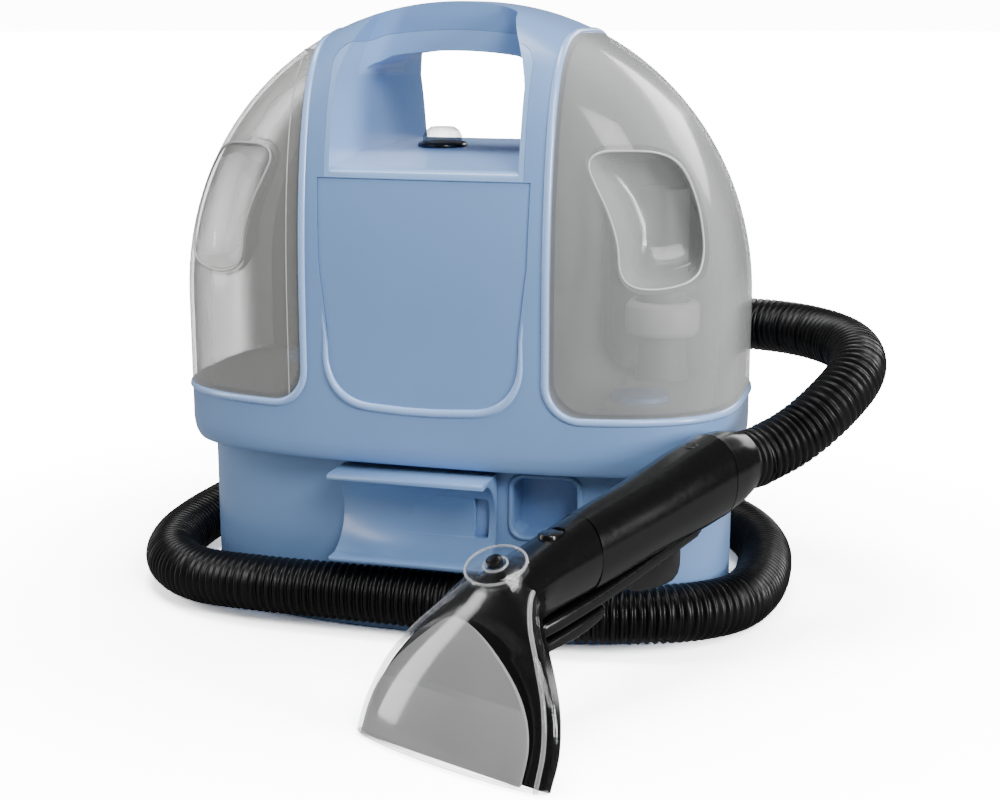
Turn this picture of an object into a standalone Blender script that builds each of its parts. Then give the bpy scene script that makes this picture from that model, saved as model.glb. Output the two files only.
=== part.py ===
"""Portable twin-tank spot extractor with its suction hose, hand wand and upholstery tool.

Metres, +X to the right of someone facing the front, the front towards -Y, +Z up.
The origin is the middle of the flat underside, on the surface the machine stands on.
"""

import math

import bmesh
import bpy
import numpy as np
from mathutils import Matrix, Vector

# Driving dimensions.
BODY_WIDTH = 0.330
BODY_DEPTH = 0.181
BODY_HEIGHT = 0.352
CORNER_POWER = 3.4
DOME_START = 0.183
SKIRT_BOTTOM = 0.0965
TANK_FLOOR = 0.131
SHELL_WALL = 0.003
FIT_GAP = 0.0003

COLUMN_WIDTH = 0.143
TANK_REAR = 0.058
TANK_WALL = 0.0024
TANK_CORNER = 0.020
GRIP_DEPTH = 0.0255
GRIP_CENTRE = (0.121, 0.238)
GRIP_OUTLINE = [
    (0.1090, 0.2745), (0.1250, 0.2735), (0.1360, 0.2660), (0.1440, 0.2485), (0.1482, 0.2320), (0.1497, 0.2180),
    (0.1470, 0.2060), (0.1300, 0.2015), (0.1145, 0.2030), (0.1085, 0.2110), (0.1078, 0.2260), (0.1020, 0.2430),
    (0.0950, 0.2560), (0.0893, 0.2680), (0.0950, 0.2742),
]

BASE_INSET = 0.0070
BASE_POWER = 2.8
TUB_DEPTH = 0.148
PLATE_THICKNESS = 0.005
PLATE_DEPTH = 0.178
FOOT_RADIUS = 0.011
FOOT_THICKNESS = 0.0030
FOOT_REACH_X = 0.122
FOOT_REACH_Y = 0.050

WINDOW_WIDTH = 0.108
WINDOW_HEIGHT = 0.0565
HANDLE_DEPTH = 0.052
HANDLE_THICKNESS = 0.0275
HANDLE_SKIN = 0.016
ARCH_RISE = 0.006
DECK_FRONT_DROP = 0.0065
DECK_SLOPE_START = -0.028
DECK_THICKNESS = 0.0026
LINER_DROP = 0.0102
LINER_WALL = 0.003
WINDOW_TOP = BODY_HEIGHT - HANDLE_THICKNESS
HANDLE_SEAM = BODY_HEIGHT - HANDLE_SKIN
DECK_HEIGHT = WINDOW_TOP - WINDOW_HEIGHT
DECK_FRONT_HEIGHT = DECK_HEIGHT - DECK_FRONT_DROP
LINER_BOTTOM = DECK_HEIGHT - LINER_DROP

PANEL_WIDTH_TOP = 0.121
PANEL_WIDTH_FOOT = 0.110
PANEL_BOTTOM = 0.1320
PANEL_CORNER = 0.026
PANEL_THICKNESS = 0.0028
PANEL_SINK = 0.0006

BUTTON_X = -0.020
BUTTON_Y = 0.012
BUTTON_RADIUS = 0.0118
BUTTON_PROUD = 0.0115
BEZEL_WIDTH = 0.0030
BEZEL_RADIUS = BUTTON_RADIUS + BEZEL_WIDTH
BEZEL_PROUD = 0.0028
SWITCH_HEIGHT = 0.009
SPRING_WIRE = 0.00045

CAP_RADIUS = 0.0195
CAP_NECK_RADIUS = 0.0160
CAP_DEPTH = 0.010
CAP_SEAT_CLEARANCE = 0.0025
PORT_X = 0.112
PORT_Y = 0.024
VALVE_RADIUS = 0.0035
STACK_RADIUS = 0.0145
STACK_WALL = 0.0022
STACK_TOP = 0.246
FLOAT_RADIUS = 0.0220
FLOAT_HEIGHT = 0.020
FLOAT_REST = 0.160
SLIDING_GAP = 0.0010

MOTOR_RADIUS = 0.036
MOTOR_BOTTOM = 0.150
MOTOR_TOP = 0.218
MOTOR_Y = 0.010
SHAFT_RADIUS = 0.004
FAN_RADIUS = 0.044
FAN_HEIGHT = 0.016
VOLUTE_RADIUS = 0.052
VOLUTE_BOTTOM = 0.105
VOLUTE_TOP = 0.144

CLIP_LEFT = -0.052
CLIP_RIGHT = 0.039
CLIP_AXIS_Z = 0.0685
CLIP_RADIUS = 0.0232
CLIP_WALL = 0.0026
CLIP_FRONT = 0.103
HOSE_DIAMETER = 0.033
HOSE_SOCKET_X = -0.045
HOSE_SOCKET_Z = 0.050
HOSE_SOCKET_END = 0.0962

TOOL_HEADING = math.radians(26)
WAND_HEADING = math.radians(32)
MOUTH_X = 0.0630
MOUTH_Y = -0.2575
MOUTH_HALF_WIDTH = 0.0585
NECK_END = 0.1030
WINDOW_SHELL = 0.0020
TRIGGER_HALF_WIDTH = 0.0058
TRIGGER_PIN_RADIUS = 0.0015
TRIGGER_PIVOT = (0.106, 0.0571)
LATCH_S = 0.0820
LATCH_TRAVEL = 0.002

RING_POINTS = 48
ROUND_POINTS = 28
SMALL_ROUND_POINTS = 16

BLUE = (0.30, 0.43, 0.66)
SMOKE = (0.36, 0.36, 0.36)
BLACK = (0.012, 0.012, 0.013)


def clear_scene():
    for old in list(bpy.data.objects):
        bpy.data.objects.remove(old, do_unlink=True)


def material(name, colour, roughness=0.4, metallic=0.0, alpha=1.0):
    found = bpy.data.materials.get(name)
    if found:
        return found
    made = bpy.data.materials.new(name)
    made.use_nodes = True
    shader = made.node_tree.nodes["Principled BSDF"]
    shader.inputs["Base Color"].default_value = (*colour, 1.0)
    shader.inputs["Roughness"].default_value = roughness
    shader.inputs["Metallic"].default_value = metallic
    shader.inputs["Alpha"].default_value = alpha
    return made


def blue_plastic():
    return material("blue_plastic", BLUE, 0.38)


def smoke_clear():
    return material("smoke_clear", SMOKE, 0.12, alpha=0.45)


def black_plastic():
    return material("black_plastic", BLACK, 0.32)


def dark_rubber():
    return material("dark_rubber", (0.02, 0.02, 0.02), 0.7)


def steel():
    return material("steel", (0.55, 0.56, 0.58), 0.3, 1.0)


def white_nylon():
    return material("white_nylon", (0.75, 0.75, 0.72), 0.45)


def grey_plastic():
    return material("grey_plastic", (0.26, 0.26, 0.27), 0.5)


def board_green():
    return material("board_green", (0.03, 0.16, 0.07), 0.5)


def add_mesh(name, made, finish, smooth_angle=35):
    """Turns a bmesh into an object with outward faces, its sharp edges kept sharp."""
    bmesh.ops.remove_doubles(made, verts=made.verts, dist=1e-6)
    bmesh.ops.recalc_face_normals(made, faces=made.faces)
    mesh = bpy.data.meshes.new(name)
    made.to_mesh(mesh)
    made.free()
    if finish:
        mesh.materials.append(finish)
    mesh.shade_smooth()
    mesh.set_sharp_from_angle(angle=math.radians(smooth_angle))
    obj = bpy.data.objects.new(name, mesh)
    bpy.context.scene.collection.objects.link(obj)
    return obj


def as_cutter(obj):
    obj.hide_render = True
    obj.display_type = "WIRE"
    return obj


def boolean(obj, cutter, operation="DIFFERENCE", solver="EXACT"):
    """Cuts, joins or keeps. The manifold solver is for the body halves, where the exact one leaves open edges."""
    modifier = obj.modifiers.new(f"{operation.lower()}_{cutter.name}", "BOOLEAN")
    modifier.operation = operation
    modifier.solver = solver
    modifier.object = as_cutter(cutter)


def superellipse(half_x, half_y, power=CORNER_POWER, count=RING_POINTS):
    """Points of one ring, evenly spaced along its outline, starting at +X."""
    turn = np.linspace(0.0, 2.0 * math.pi, 721)
    x = half_x * np.sign(np.cos(turn)) * np.abs(np.cos(turn)) ** (2.0 / power)
    y = half_y * np.sign(np.sin(turn)) * np.abs(np.sin(turn)) ** (2.0 / power)
    walked = np.concatenate([[0.0], np.cumsum(np.hypot(np.diff(x), np.diff(y)))])
    wanted = np.linspace(0.0, walked[-1], count + 1)[:-1]
    return list(zip(np.interp(wanted, walked, x), np.interp(wanted, walked, y)))


def skin(name, rings, finish=None, tip=None):
    """Closed solid through rings of 3-D points, all with the same count."""
    made = bmesh.new()
    rows = [[made.verts.new(point) for point in ring] for ring in rings]
    count = len(rows[0])
    for low, high in zip(rows, rows[1:]):
        for i in range(count):
            j = (i + 1) % count
            made.faces.new((low[i], low[j], high[j], high[i]))
    made.faces.new(list(reversed(rows[0])))
    if tip:
        top = made.verts.new(tip)
        for i in range(count):
            made.faces.new((rows[-1][i], rows[-1][(i + 1) % count], top))
    else:
        made.faces.new(rows[-1])
    return add_mesh(name, made, finish)


def dome_half_width(z, inset=0.0):
    rise = BODY_HEIGHT - DOME_START - inset
    share = min(max(z - DOME_START, 0.0) / rise, 1.0)
    return (BODY_WIDTH / 2 - inset) * math.sqrt(1.0 - share * share)


def dome_half_depth(z, inset=0.0):
    rise = BODY_HEIGHT - DOME_START - inset
    share = min(max(z - DOME_START, 0.0) / rise, 1.0)
    return (BODY_DEPTH / 2 - inset) * (1.0 - share**2.2) ** 0.25


def dome_front(x, z, inset=0.0):
    """How far in front of the middle the dome's surface lies at this x and z."""
    share = min(abs(x) / max(dome_half_width(z, inset), 1e-6), 1.0)
    return dome_half_depth(z, inset) * (1.0 - share**CORNER_POWER) ** (1.0 / CORNER_POWER)


def dome_solid(name, inset=0.0, bottom=SKIRT_BOTTOM, top=None, softened=False):
    """The machine's outer shape, or the same shape set in from it by the inset."""
    levels = []
    if softened:
        levels = [(bottom, 0.0030), (bottom + 0.0012, 0.0010)]
    levels.append((bottom + (0.0035 if softened else 0.0), 0.0))
    levels += [(TANK_FLOOR, 0.0), (0.5 * (TANK_FLOOR + DOME_START), 0.0)]
    rise = BODY_HEIGHT - DOME_START - inset
    for degrees in (0, 12, 24, 35, 45, 54, 62, 69, 75, 80, 85):
        z = DOME_START + rise * math.sin(math.radians(degrees))
        if top is None or z < top - 0.002:
            levels.append((z, 0.0))
    if top is not None:
        levels.append((top, 0.0))
    rings = []
    for z, pull in levels:
        ring = superellipse(dome_half_width(z, inset) - pull, dome_half_depth(z, inset) - pull)
        rings.append([(x, y, z) for x, y in ring])
    tip = (0.0, 0.0, BODY_HEIGHT - inset) if top is None else None
    return skin(name, rings, blue_plastic(), tip)


def prism_y(name, outline, y_front, y_back, finish=None):
    """An outline in X and Z, pushed from y_front to y_back."""
    rings = [[(x, y, z) for x, z in outline] for y in (y_front, y_back)]
    return skin(name, rings, finish)


def box(name, low, high, finish=None):
    outline = [(low[0], low[2]), (high[0], low[2]), (high[0], high[2]), (low[0], high[2])]
    return prism_y(name, outline, low[1], high[1], finish)


def arc_points(cx, cy, radius, start, end, steps):
    """Points on an arc, with angles in degrees."""
    found = []
    for i in range(steps + 1):
        angle = math.radians(start + (end - start) * i / steps)
        found.append((cx + radius * math.cos(angle), cy + radius * math.sin(angle)))
    return found


def turned(name, profile, finish, centre=(0.0, 0.0, 0.0), count=ROUND_POINTS, axis="Z"):
    """A ring or a solid turned from a closed profile of (radius, height) points."""
    made = bmesh.new()
    rows = []
    for radius, height in profile:
        row = []
        for i in range(count if radius > 1e-7 else 1):
            angle = 2.0 * math.pi * i / count
            around = (radius * math.cos(angle), radius * math.sin(angle))
            place = (*around, height)
            if axis == "Y":
                place = (around[0], height, around[1])
            elif axis == "X":
                place = (height, around[0], around[1])
            row.append(made.verts.new(Vector(place) + Vector(centre)))
        rows.append(row)
    for low, high in zip(rows, rows[1:] + rows[:1]):
        for i in range(count):
            j = (i + 1) % count
            corners = [low[i % len(low)], low[j % len(low)], high[j % len(high)], high[i % len(high)]]
            distinct = list(dict.fromkeys(corners))
            if len(distinct) > 2:
                made.faces.new(distinct)
    return add_mesh(name, made, finish)


def cylinder(name, radius, low, high, finish, centre=(0.0, 0.0, 0.0), count=ROUND_POINTS, axis="Z"):
    profile = [(0.0, low), (radius, low), (radius, high), (0.0, high)]
    return turned(name, profile, finish, centre, count, axis)


def put_origin(obj, place):
    """Moves the object's origin to a point on its joint's axis, leaving the shape where it is."""
    obj.data.transform(Matrix.Translation(-Vector(place)))
    obj.location = place


def spring(name, radius, low, high, turns, centre, finish):
    """A closed-ended compression spring as one swept tube."""
    sides = 5
    steps = int(turns * 12)
    rings = []
    for i in range(steps + 1):
        share = i / steps
        angle = 2.0 * math.pi * turns * share
        z = low + SPRING_WIRE + (high - low - 2.0 * SPRING_WIRE) * share
        ring = []
        for k in range(sides):
            around = 2.0 * math.pi * k / sides
            reach = radius + SPRING_WIRE * math.cos(around)
            ring.append((centre[0] + reach * math.cos(angle), centre[1] + reach * math.sin(angle),
                         z + SPRING_WIRE * math.sin(around)))
        rings.append(ring)
    return skin(name, rings, finish)


# ---------------------------------------------------------------- base

def base_half_width():
    return BODY_WIDTH / 2 - BASE_INSET


def make_base():
    """Flat bottom cover with inlaid feet, and the tub that stands on it."""
    half_x = base_half_width()
    half_y = PLATE_DEPTH / 2
    edge = 0.0012
    plate = skin("base_plate", [
        [(x, y, 0.0) for x, y in superellipse(half_x - edge, half_y - edge, BASE_POWER)],
        [(x, y, edge) for x, y in superellipse(half_x, half_y, BASE_POWER)],
        [(x, y, PLATE_THICKNESS) for x, y in superellipse(half_x, half_y, BASE_POWER)],
    ], blue_plastic())
    for side_x, word_x in ((-1, "left"), (1, "right")):
        for side_y, word_y in ((-1, "front"), (1, "rear")):
            place = (side_x * FOOT_REACH_X, side_y * FOOT_REACH_Y, 0.0)
            cylinder(f"foot_{word_y}_{word_x}", FOOT_RADIUS, 0.0, FOOT_THICKNESS, dark_rubber(), place,
                     SMALL_ROUND_POINTS)
            pocket = cylinder(f"cut_foot_{word_y}_{word_x}", FOOT_RADIUS + FIT_GAP, -0.01,
                              FOOT_THICKNESS + FIT_GAP, None, place, SMALL_ROUND_POINTS)
            boolean(plate, pocket)

    low = PLATE_THICKNESS + FIT_GAP
    high = SKIRT_BOTTOM - FIT_GAP
    outer = superellipse(half_x, TUB_DEPTH / 2, BASE_POWER)
    inner = superellipse(half_x - SHELL_WALL, TUB_DEPTH / 2 - SHELL_WALL, BASE_POWER)
    tub = skin("base_tub", [[(x, y, z) for x, y in outer] for z in (low, high)], blue_plastic())
    boolean(tub, skin("cut_tub", [[(x, y, z) for x, y in inner] for z in (low + SHELL_WALL, high + 0.01)]))
    front = TUB_DEPTH / 2
    recess = box("cut_recess", (0.0475, -front - 0.01, 0.058), (0.0845, -front + SHELL_WALL + 0.0085, 0.0925))
    boolean(tub, recess)
    back = box("storage_recess", (0.0478, -front + 0.0112, 0.0545), (0.0880, -front + 0.0218, 0.0935), blue_plastic())
    boolean(back, box("cut_recess_inside", (0.0500, -front, 0.0565), (0.0858, -front + 0.0198, 0.0915)))
    socket_hole = cylinder("cut_socket", 0.0150 + FIT_GAP, front - 0.02, front + 0.02, None,
                           (HOSE_SOCKET_X, 0.0, HOSE_SOCKET_Z), axis="Y")
    boolean(tub, socket_hole)
    grille_gap = box("cut_grille", (0.0300, front - 0.02, 0.0250), (0.1000, front + 0.02, 0.0750))
    boolean(tub, grille_gap)
    lead_hole = cylinder("cut_bushing", 0.0055 + FIT_GAP, front - 0.02, front + 0.02, None,
                         (-0.100, 0.0, 0.070), SMALL_ROUND_POINTS, "Y")
    boolean(tub, lead_hole)


def make_rear_fittings():
    """Exhaust grille, hose socket and the bushing where the mains lead enters."""
    back = TUB_DEPTH / 2
    grille = box("exhaust_grille", (0.0303, back - 0.0035, 0.0253), (0.0997, back - 0.0006, 0.0747), black_plastic())
    slots = 7
    for i in range(slots):
        x = 0.0303 + 0.0694 * (i + 0.5) / slots
        boolean(grille, box(f"cut_slot_{i}", (x - 0.0024, back - 0.02, 0.0290), (x + 0.0024, back + 0.01, 0.0710)))
    bore = 0.0125
    turned("hose_socket", [
        (bore, back - 0.0100), (0.0150, back - 0.0100), (0.0150, back + FIT_GAP), (0.0200, back + FIT_GAP),
        (0.0200, back + 0.0050), (0.0178, back + 0.0080), (0.0172, HOSE_SOCKET_END - FIT_GAP),
        (bore, HOSE_SOCKET_END - FIT_GAP),
    ], black_plastic(), (HOSE_SOCKET_X, 0.0, HOSE_SOCKET_Z), axis="Y")
    turned("cord_bushing", [
        (0.0030, back - 0.0060), (0.0055, back - 0.0060), (0.0055, back + FIT_GAP), (0.0080, back + FIT_GAP),
        (0.0070, back + 0.0040), (0.0030, back + 0.0040),
    ], dark_rubber(), (-0.100, 0.0, 0.070), SMALL_ROUND_POINTS, "Y")


def hook(name, x, z, reach, rise, half_width, lean=0.0):
    """An L-shaped wrap hook: an arm straight back from the wall, its root following it, and a tip turned up."""
    bar = 0.0050
    root_gap = 2 * FIT_GAP
    rings = []
    for side in (-half_width, half_width):
        low_start = dome_front(x + side, z) + root_gap
        high_start = dome_front(x + side, z + bar) + root_gap
        outline = [(low_start, z), (reach, z), (reach, z + rise), (reach - bar, z + rise), (reach - bar, z + bar),
                   (high_start, z + bar)]
        rings.append([(x + side + lean * max(h - z - bar, 0.0), y, h) for y, h in outline])
    return skin(name, rings, blue_plastic())


def make_hooks():
    hook("hook_lower_left", -0.020, 0.0920, 0.1450, 0.020, 0.009)
    hook("hook_lower_right", 0.085, 0.1220, 0.1450, 0.020, 0.009)
    hook("hook_upper", -0.1000, 0.2860, 0.1180, 0.036, 0.008, -1.35)


# ---------------------------------------------------------------- body shells

def tank_pocket(side, grow=0.0, gap=0.0):
    """Outline in X and Z of the space one tank stands in: flat floor, round inner corner."""
    inner = COLUMN_WIDTH / 2 - grow + gap
    floor = TANK_FLOOR - grow + gap
    outer = BODY_WIDTH / 2 + 0.02
    radius = TANK_CORNER
    corner = arc_points(inner + radius, floor + radius, radius, 180, 270, 6)
    outline = [(inner, BODY_HEIGHT + 0.02)] + corner + [(outer, floor), (outer, BODY_HEIGHT + 0.02)]
    return [(side * x, z) for x, z in outline]


def arch(half_width, top, bottom, rise=ARCH_RISE, corner=0.012):
    """Outline of the hand opening: flat below, rounded upper corners under a shallow arch."""
    points = [(-half_width, bottom), (half_width, bottom), (half_width, top - rise - corner)]
    points += arc_points(half_width - corner, top - rise - corner, corner, 0, 80, 4)[1:]
    for i in range(1, 6):
        x = (half_width - corner) * (1.0 - 2.0 * i / 6)
        share = x / half_width
        points.append((x, top - rise * share * share))
    points += [(-x, z) for x, z in reversed(arc_points(half_width - corner, top - rise - corner, corner, 0, 80, 4))]
    return points


def liner_outline(gap=0.0):
    return arch(WINDOW_WIDTH / 2 + LINER_WALL + gap, HANDLE_SEAM + gap, LINER_BOTTOM - gap)


def panel_outline(gap=0.0):
    """The front panel's outline: straight top, sides drawn in a little, big round lower corners."""
    top = LINER_BOTTOM - 2 * FIT_GAP - gap
    half_top = PANEL_WIDTH_TOP / 2 - gap
    half_foot = PANEL_WIDTH_FOOT / 2 - gap
    low = PANEL_BOTTOM + gap
    right = [(half_top, top), (half_top - 0.001, top - 0.045), (half_foot, low + PANEL_CORNER + 0.010)]
    right += arc_points(half_foot - PANEL_CORNER, low + PANEL_CORNER, PANEL_CORNER, -8, -82, 5)
    return right + [(-x, z) for x, z in reversed(right)]


def make_body():
    """Front and rear shells of the dome, the handle liner with its deck, and the front panel."""
    deep = BODY_DEPTH
    inner = dome_solid("cut_body_inside", SHELL_WALL, SKIRT_BOTTOM - 0.01, LINER_BOTTOM + 0.010)
    for side, word in ((-1, "left"), (1, "right")):
        grown = tank_pocket(side, SHELL_WALL)
        boolean(inner, prism_y(f"keep_{word}_seat", grown, -deep, TANK_REAR + FIT_GAP + SHELL_WALL))
    halves = []
    solver = "MANIFOLD"
    for word, low, high in (("front", -deep, -FIT_GAP / 2), ("rear", FIT_GAP / 2, deep)):
        half = dome_solid(f"{word}_body", softened=True)
        for side, hand in ((-1, "left"), (1, "right")):
            pocket = prism_y(f"cut_{word}_{hand}_pocket", tank_pocket(side), -deep, TANK_REAR + FIT_GAP)
            boolean(half, pocket, solver=solver)
        boolean(half, inner, solver=solver)
        boolean(half, prism_y(f"cut_{word}_liner", liner_outline(FIT_GAP), -deep, deep), solver=solver)
        relief_half = WINDOW_WIDTH / 2 - 0.004
        relief_low = LINER_BOTTOM + 0.050
        for turn, end in (("front", -1), ("rear", 1)):
            edges = sorted((end * HANDLE_DEPTH / 2, end * deep))
            boolean(half, box(f"cut_{word}_relief_{turn}", (-relief_half, edges[0], relief_low),
                              (relief_half, edges[1], BODY_HEIGHT + 0.02)), solver=solver)
        keep = box(f"keep_{word}_half", (-BODY_WIDTH, low, 0.0), (BODY_WIDTH, high, BODY_HEIGHT + 0.05))
        boolean(half, keep, "INTERSECT", solver)
        halves.append(half)
    front, rear = halves

    liner = prism_y("handle_liner", liner_outline(), -deep, deep, blue_plastic())
    boolean(liner, dome_solid("keep_liner", 0.0002, LINER_BOTTOM - 0.02), "INTERSECT")
    boolean(liner, prism_y("cut_window", arch(WINDOW_WIDTH / 2, WINDOW_TOP, DECK_HEIGHT), -deep, deep))
    half = WINDOW_WIDTH / 2
    slope = [(DECK_SLOPE_START, DECK_HEIGHT), (-BODY_DEPTH / 2, DECK_FRONT_HEIGHT), (-deep, DECK_FRONT_HEIGHT),
             (-deep, DECK_HEIGHT + 0.01), (DECK_SLOPE_START, DECK_HEIGHT + 0.01)]
    boolean(liner, skin("cut_deck_slope", [[(x, y, z) for y, z in slope] for x in (-half, half)]))
    room_low = LINER_BOTTOM - 0.01
    boolean(liner, box("cut_switch_room", (-half + 0.002, -0.020, room_low), (half - 0.002, 0.072, DECK_HEIGHT - DECK_THICKNESS)))
    for turn, end in (("front", -1), ("rear", 1)):
        edges = sorted((end * HANDLE_DEPTH / 2, end * deep))
        boolean(liner, box(f"cut_liner_relief_{turn}", (-half + 0.004, edges[0], LINER_BOTTOM + 0.050),
                           (half - 0.004, edges[1], BODY_HEIGHT + 0.02)))
    boolean(liner, cylinder("cut_button", BUTTON_RADIUS + 0.0018 + FIT_GAP, room_low, DECK_HEIGHT + 0.01, None,
                            (BUTTON_X, BUTTON_Y, 0.0)))

    depth = PANEL_THICKNESS + PANEL_SINK
    recess = prism_y("cut_panel_recess", panel_outline(-FIT_GAP), -deep, 0.0)
    boolean(recess, dome_solid("keep_recess_floor", depth + FIT_GAP, SKIRT_BOTTOM - 0.02))
    boolean(front, recess)
    panel = prism_y("front_panel", panel_outline(), -deep, 0.0, blue_plastic())
    boolean(panel, dome_solid("keep_panel_face", PANEL_SINK, SKIRT_BOTTOM - 0.02), "INTERSECT")
    boolean(panel, dome_solid("cut_panel_back", depth, SKIRT_BOTTOM - 0.03))

    for side, shell, y, word in ((-1, rear, PORT_Y, "clean"), (1, rear, PORT_Y, "dirty"),
                                 (1, front, -PORT_Y - 0.012, "drain")):
        boolean(shell, cylinder(f"cut_{word}_seat", CAP_RADIUS + CAP_SEAT_CLEARANCE, SKIRT_BOTTOM - 0.01,
                                TANK_FLOOR + 0.02, None, (side * PORT_X, y, 0.0)))


# ---------------------------------------------------------------- power button

def make_button():
    place = (BUTTON_X, BUTTON_Y, 0.0)
    sleeve = BUTTON_RADIUS + 0.0004
    turned("power_bezel", [
        (sleeve, DECK_HEIGHT - DECK_THICKNESS - 0.002), (sleeve + 0.0014, DECK_HEIGHT - DECK_THICKNESS - 0.002),
        (sleeve + 0.0014, DECK_HEIGHT + FIT_GAP), (BEZEL_RADIUS, DECK_HEIGHT + FIT_GAP),
        (BEZEL_RADIUS, DECK_HEIGHT + 0.0014), (BEZEL_RADIUS - 0.0010, DECK_HEIGHT + BEZEL_PROUD),
        (sleeve, DECK_HEIGHT + BEZEL_PROUD),
    ], black_plastic(), place)
    top = DECK_HEIGHT + BUTTON_PROUD
    low = DECK_HEIGHT - 0.0040
    button = turned("power_button", [
        (0.0, low), (BUTTON_RADIUS, low), (BUTTON_RADIUS, DECK_HEIGHT + 0.0060), (BUTTON_RADIUS - 0.0016, top - 0.0022),
        (BUTTON_RADIUS - 0.0046, top), (0.0, top),
    ], smoke_clear(), place, 12)
    put_origin(button, (BUTTON_X, BUTTON_Y, low))
    spring_room = 0.0042
    spring("button_spring", 0.0060, low - spring_room, low - FIT_GAP, 2.0, place, steel())
    switch_top = low - spring_room - FIT_GAP
    box("power_switch", (BUTTON_X - 0.0125, BUTTON_Y - 0.0100, switch_top - SWITCH_HEIGHT),
        (BUTTON_X + 0.0125, BUTTON_Y + 0.0100, switch_top), black_plastic())


# ---------------------------------------------------------------- tanks

def rounded_loop(points):
    """A closed outline with each corner cut off at a quarter of its sides."""
    found = []
    for a, b in zip(points, points[1:] + points[:1]):
        found.append((0.75 * a[0] + 0.25 * b[0], 0.75 * a[1] + 0.25 * b[1]))
        found.append((0.25 * a[0] + 0.75 * b[0], 0.25 * a[1] + 0.75 * b[1]))
    return found


def finger_grip(name, side, grow):
    """The scoop for the fingertips, pressed into the tank's front near its outer edge."""
    mid_x, mid_z = GRIP_CENTRE
    loop = rounded_loop(GRIP_OUTLINE)
    rings = []
    for share, depth in ((1.0, -0.98), (1.0, 0.08), (0.97, 0.31), (0.90, 0.59), (0.78, 0.80), (0.62, 0.93), (0.40, 1.0)):
        wide = share + grow / (mid_x - 0.5 * COLUMN_WIDTH - 0.022)
        ring = []
        for x, z in loop:
            at_x, at_z = mid_x + (x - mid_x) * wide, mid_z + (z - mid_z) * wide
            face = -0.084 + 0.52 * (at_x - 0.100) + 0.15 * (at_z - 0.220)
            ring.append((side * at_x, face + depth * GRIP_DEPTH + (grow if depth > 0.0 else 0.0), at_z))
        rings.append(ring)
    return skin(name, rings)


def make_tank(name, side):
    """Blow-moulded look tank: a slice of the dome with a finger grip pressed into its front."""
    gap = FIT_GAP
    deep = BODY_DEPTH
    rear_face = TANK_REAR
    tank = dome_solid(name, 0.0, TANK_FLOOR - 0.01)
    tank.data.materials.clear()
    tank.data.materials.append(smoke_clear())
    keep = prism_y(f"keep_{name}", tank_pocket(side, gap=gap), -deep, rear_face)
    boolean(tank, keep, "INTERSECT")
    grips = [finger_grip(f"cut_{name}_{word}", side, grow) for word, grow in (("grip", 0.0), ("wall", TANK_WALL))]
    room = dome_solid(f"cut_{name}_room", TANK_WALL, TANK_FLOOR - 0.02)
    inside = prism_y(f"keep_{name}_room", tank_pocket(side, gap=gap + TANK_WALL), -deep, rear_face - TANK_WALL)
    boolean(room, inside, "INTERSECT")
    boolean(room, grips[1])
    boolean(tank, grips[0])
    boolean(tank, room)
    return tank


def port_hole(tank, word, x, y):
    boolean(tank, cylinder(f"cut_{word}_hole", CAP_NECK_RADIUS + FIT_GAP, TANK_FLOOR - 0.01,
                           TANK_FLOOR + TANK_WALL + 0.004, None, (x, y, 0.0)))


def cap_profile(bore, neck_top):
    """Half section of a cap that closes a tank from below, with a bore through its middle."""
    under = TANK_FLOOR - CAP_DEPTH
    seat = TANK_FLOOR
    return [(bore, under), (CAP_RADIUS - 0.001, under), (CAP_RADIUS, under + 0.001), (CAP_RADIUS, seat),
            (CAP_NECK_RADIUS, seat), (CAP_NECK_RADIUS, neck_top), (bore, neck_top)]


def make_clean_tank():
    tank = make_tank("clean_tank", -1)
    port_hole(tank, "clean", -PORT_X, PORT_Y)
    place = (-PORT_X, PORT_Y, 0.0)
    neck_top = TANK_FLOOR + TANK_WALL + 0.003
    cap = turned("clean_cap", cap_profile(VALVE_RADIUS + FIT_GAP, neck_top), blue_plastic(), place)
    put_origin(cap, (-PORT_X, PORT_Y, TANK_FLOOR - CAP_DEPTH))
    low = TANK_FLOOR - CAP_DEPTH - 0.0030
    valve = turned("clean_valve", [(0.0, low), (VALVE_RADIUS, low), (VALVE_RADIUS, neck_top + FIT_GAP),
                                   (VALVE_RADIUS + 0.0035, neck_top + FIT_GAP), (VALVE_RADIUS + 0.0035, neck_top + 0.0022),
                                   (0.0, neck_top + 0.0022)], white_nylon(), place, SMALL_ROUND_POINTS)
    put_origin(valve, (-PORT_X, PORT_Y, low))
    seat_top = low - FIT_GAP
    turned("clean_dock", [(0.0, seat_top - 0.0060), (0.0140, seat_top - 0.0060), (0.0140, seat_top + 0.0020),
                          (0.0115, seat_top + 0.0020), (0.0115, seat_top), (0.0, seat_top)], black_plastic(), place,
           SMALL_ROUND_POINTS)


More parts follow.
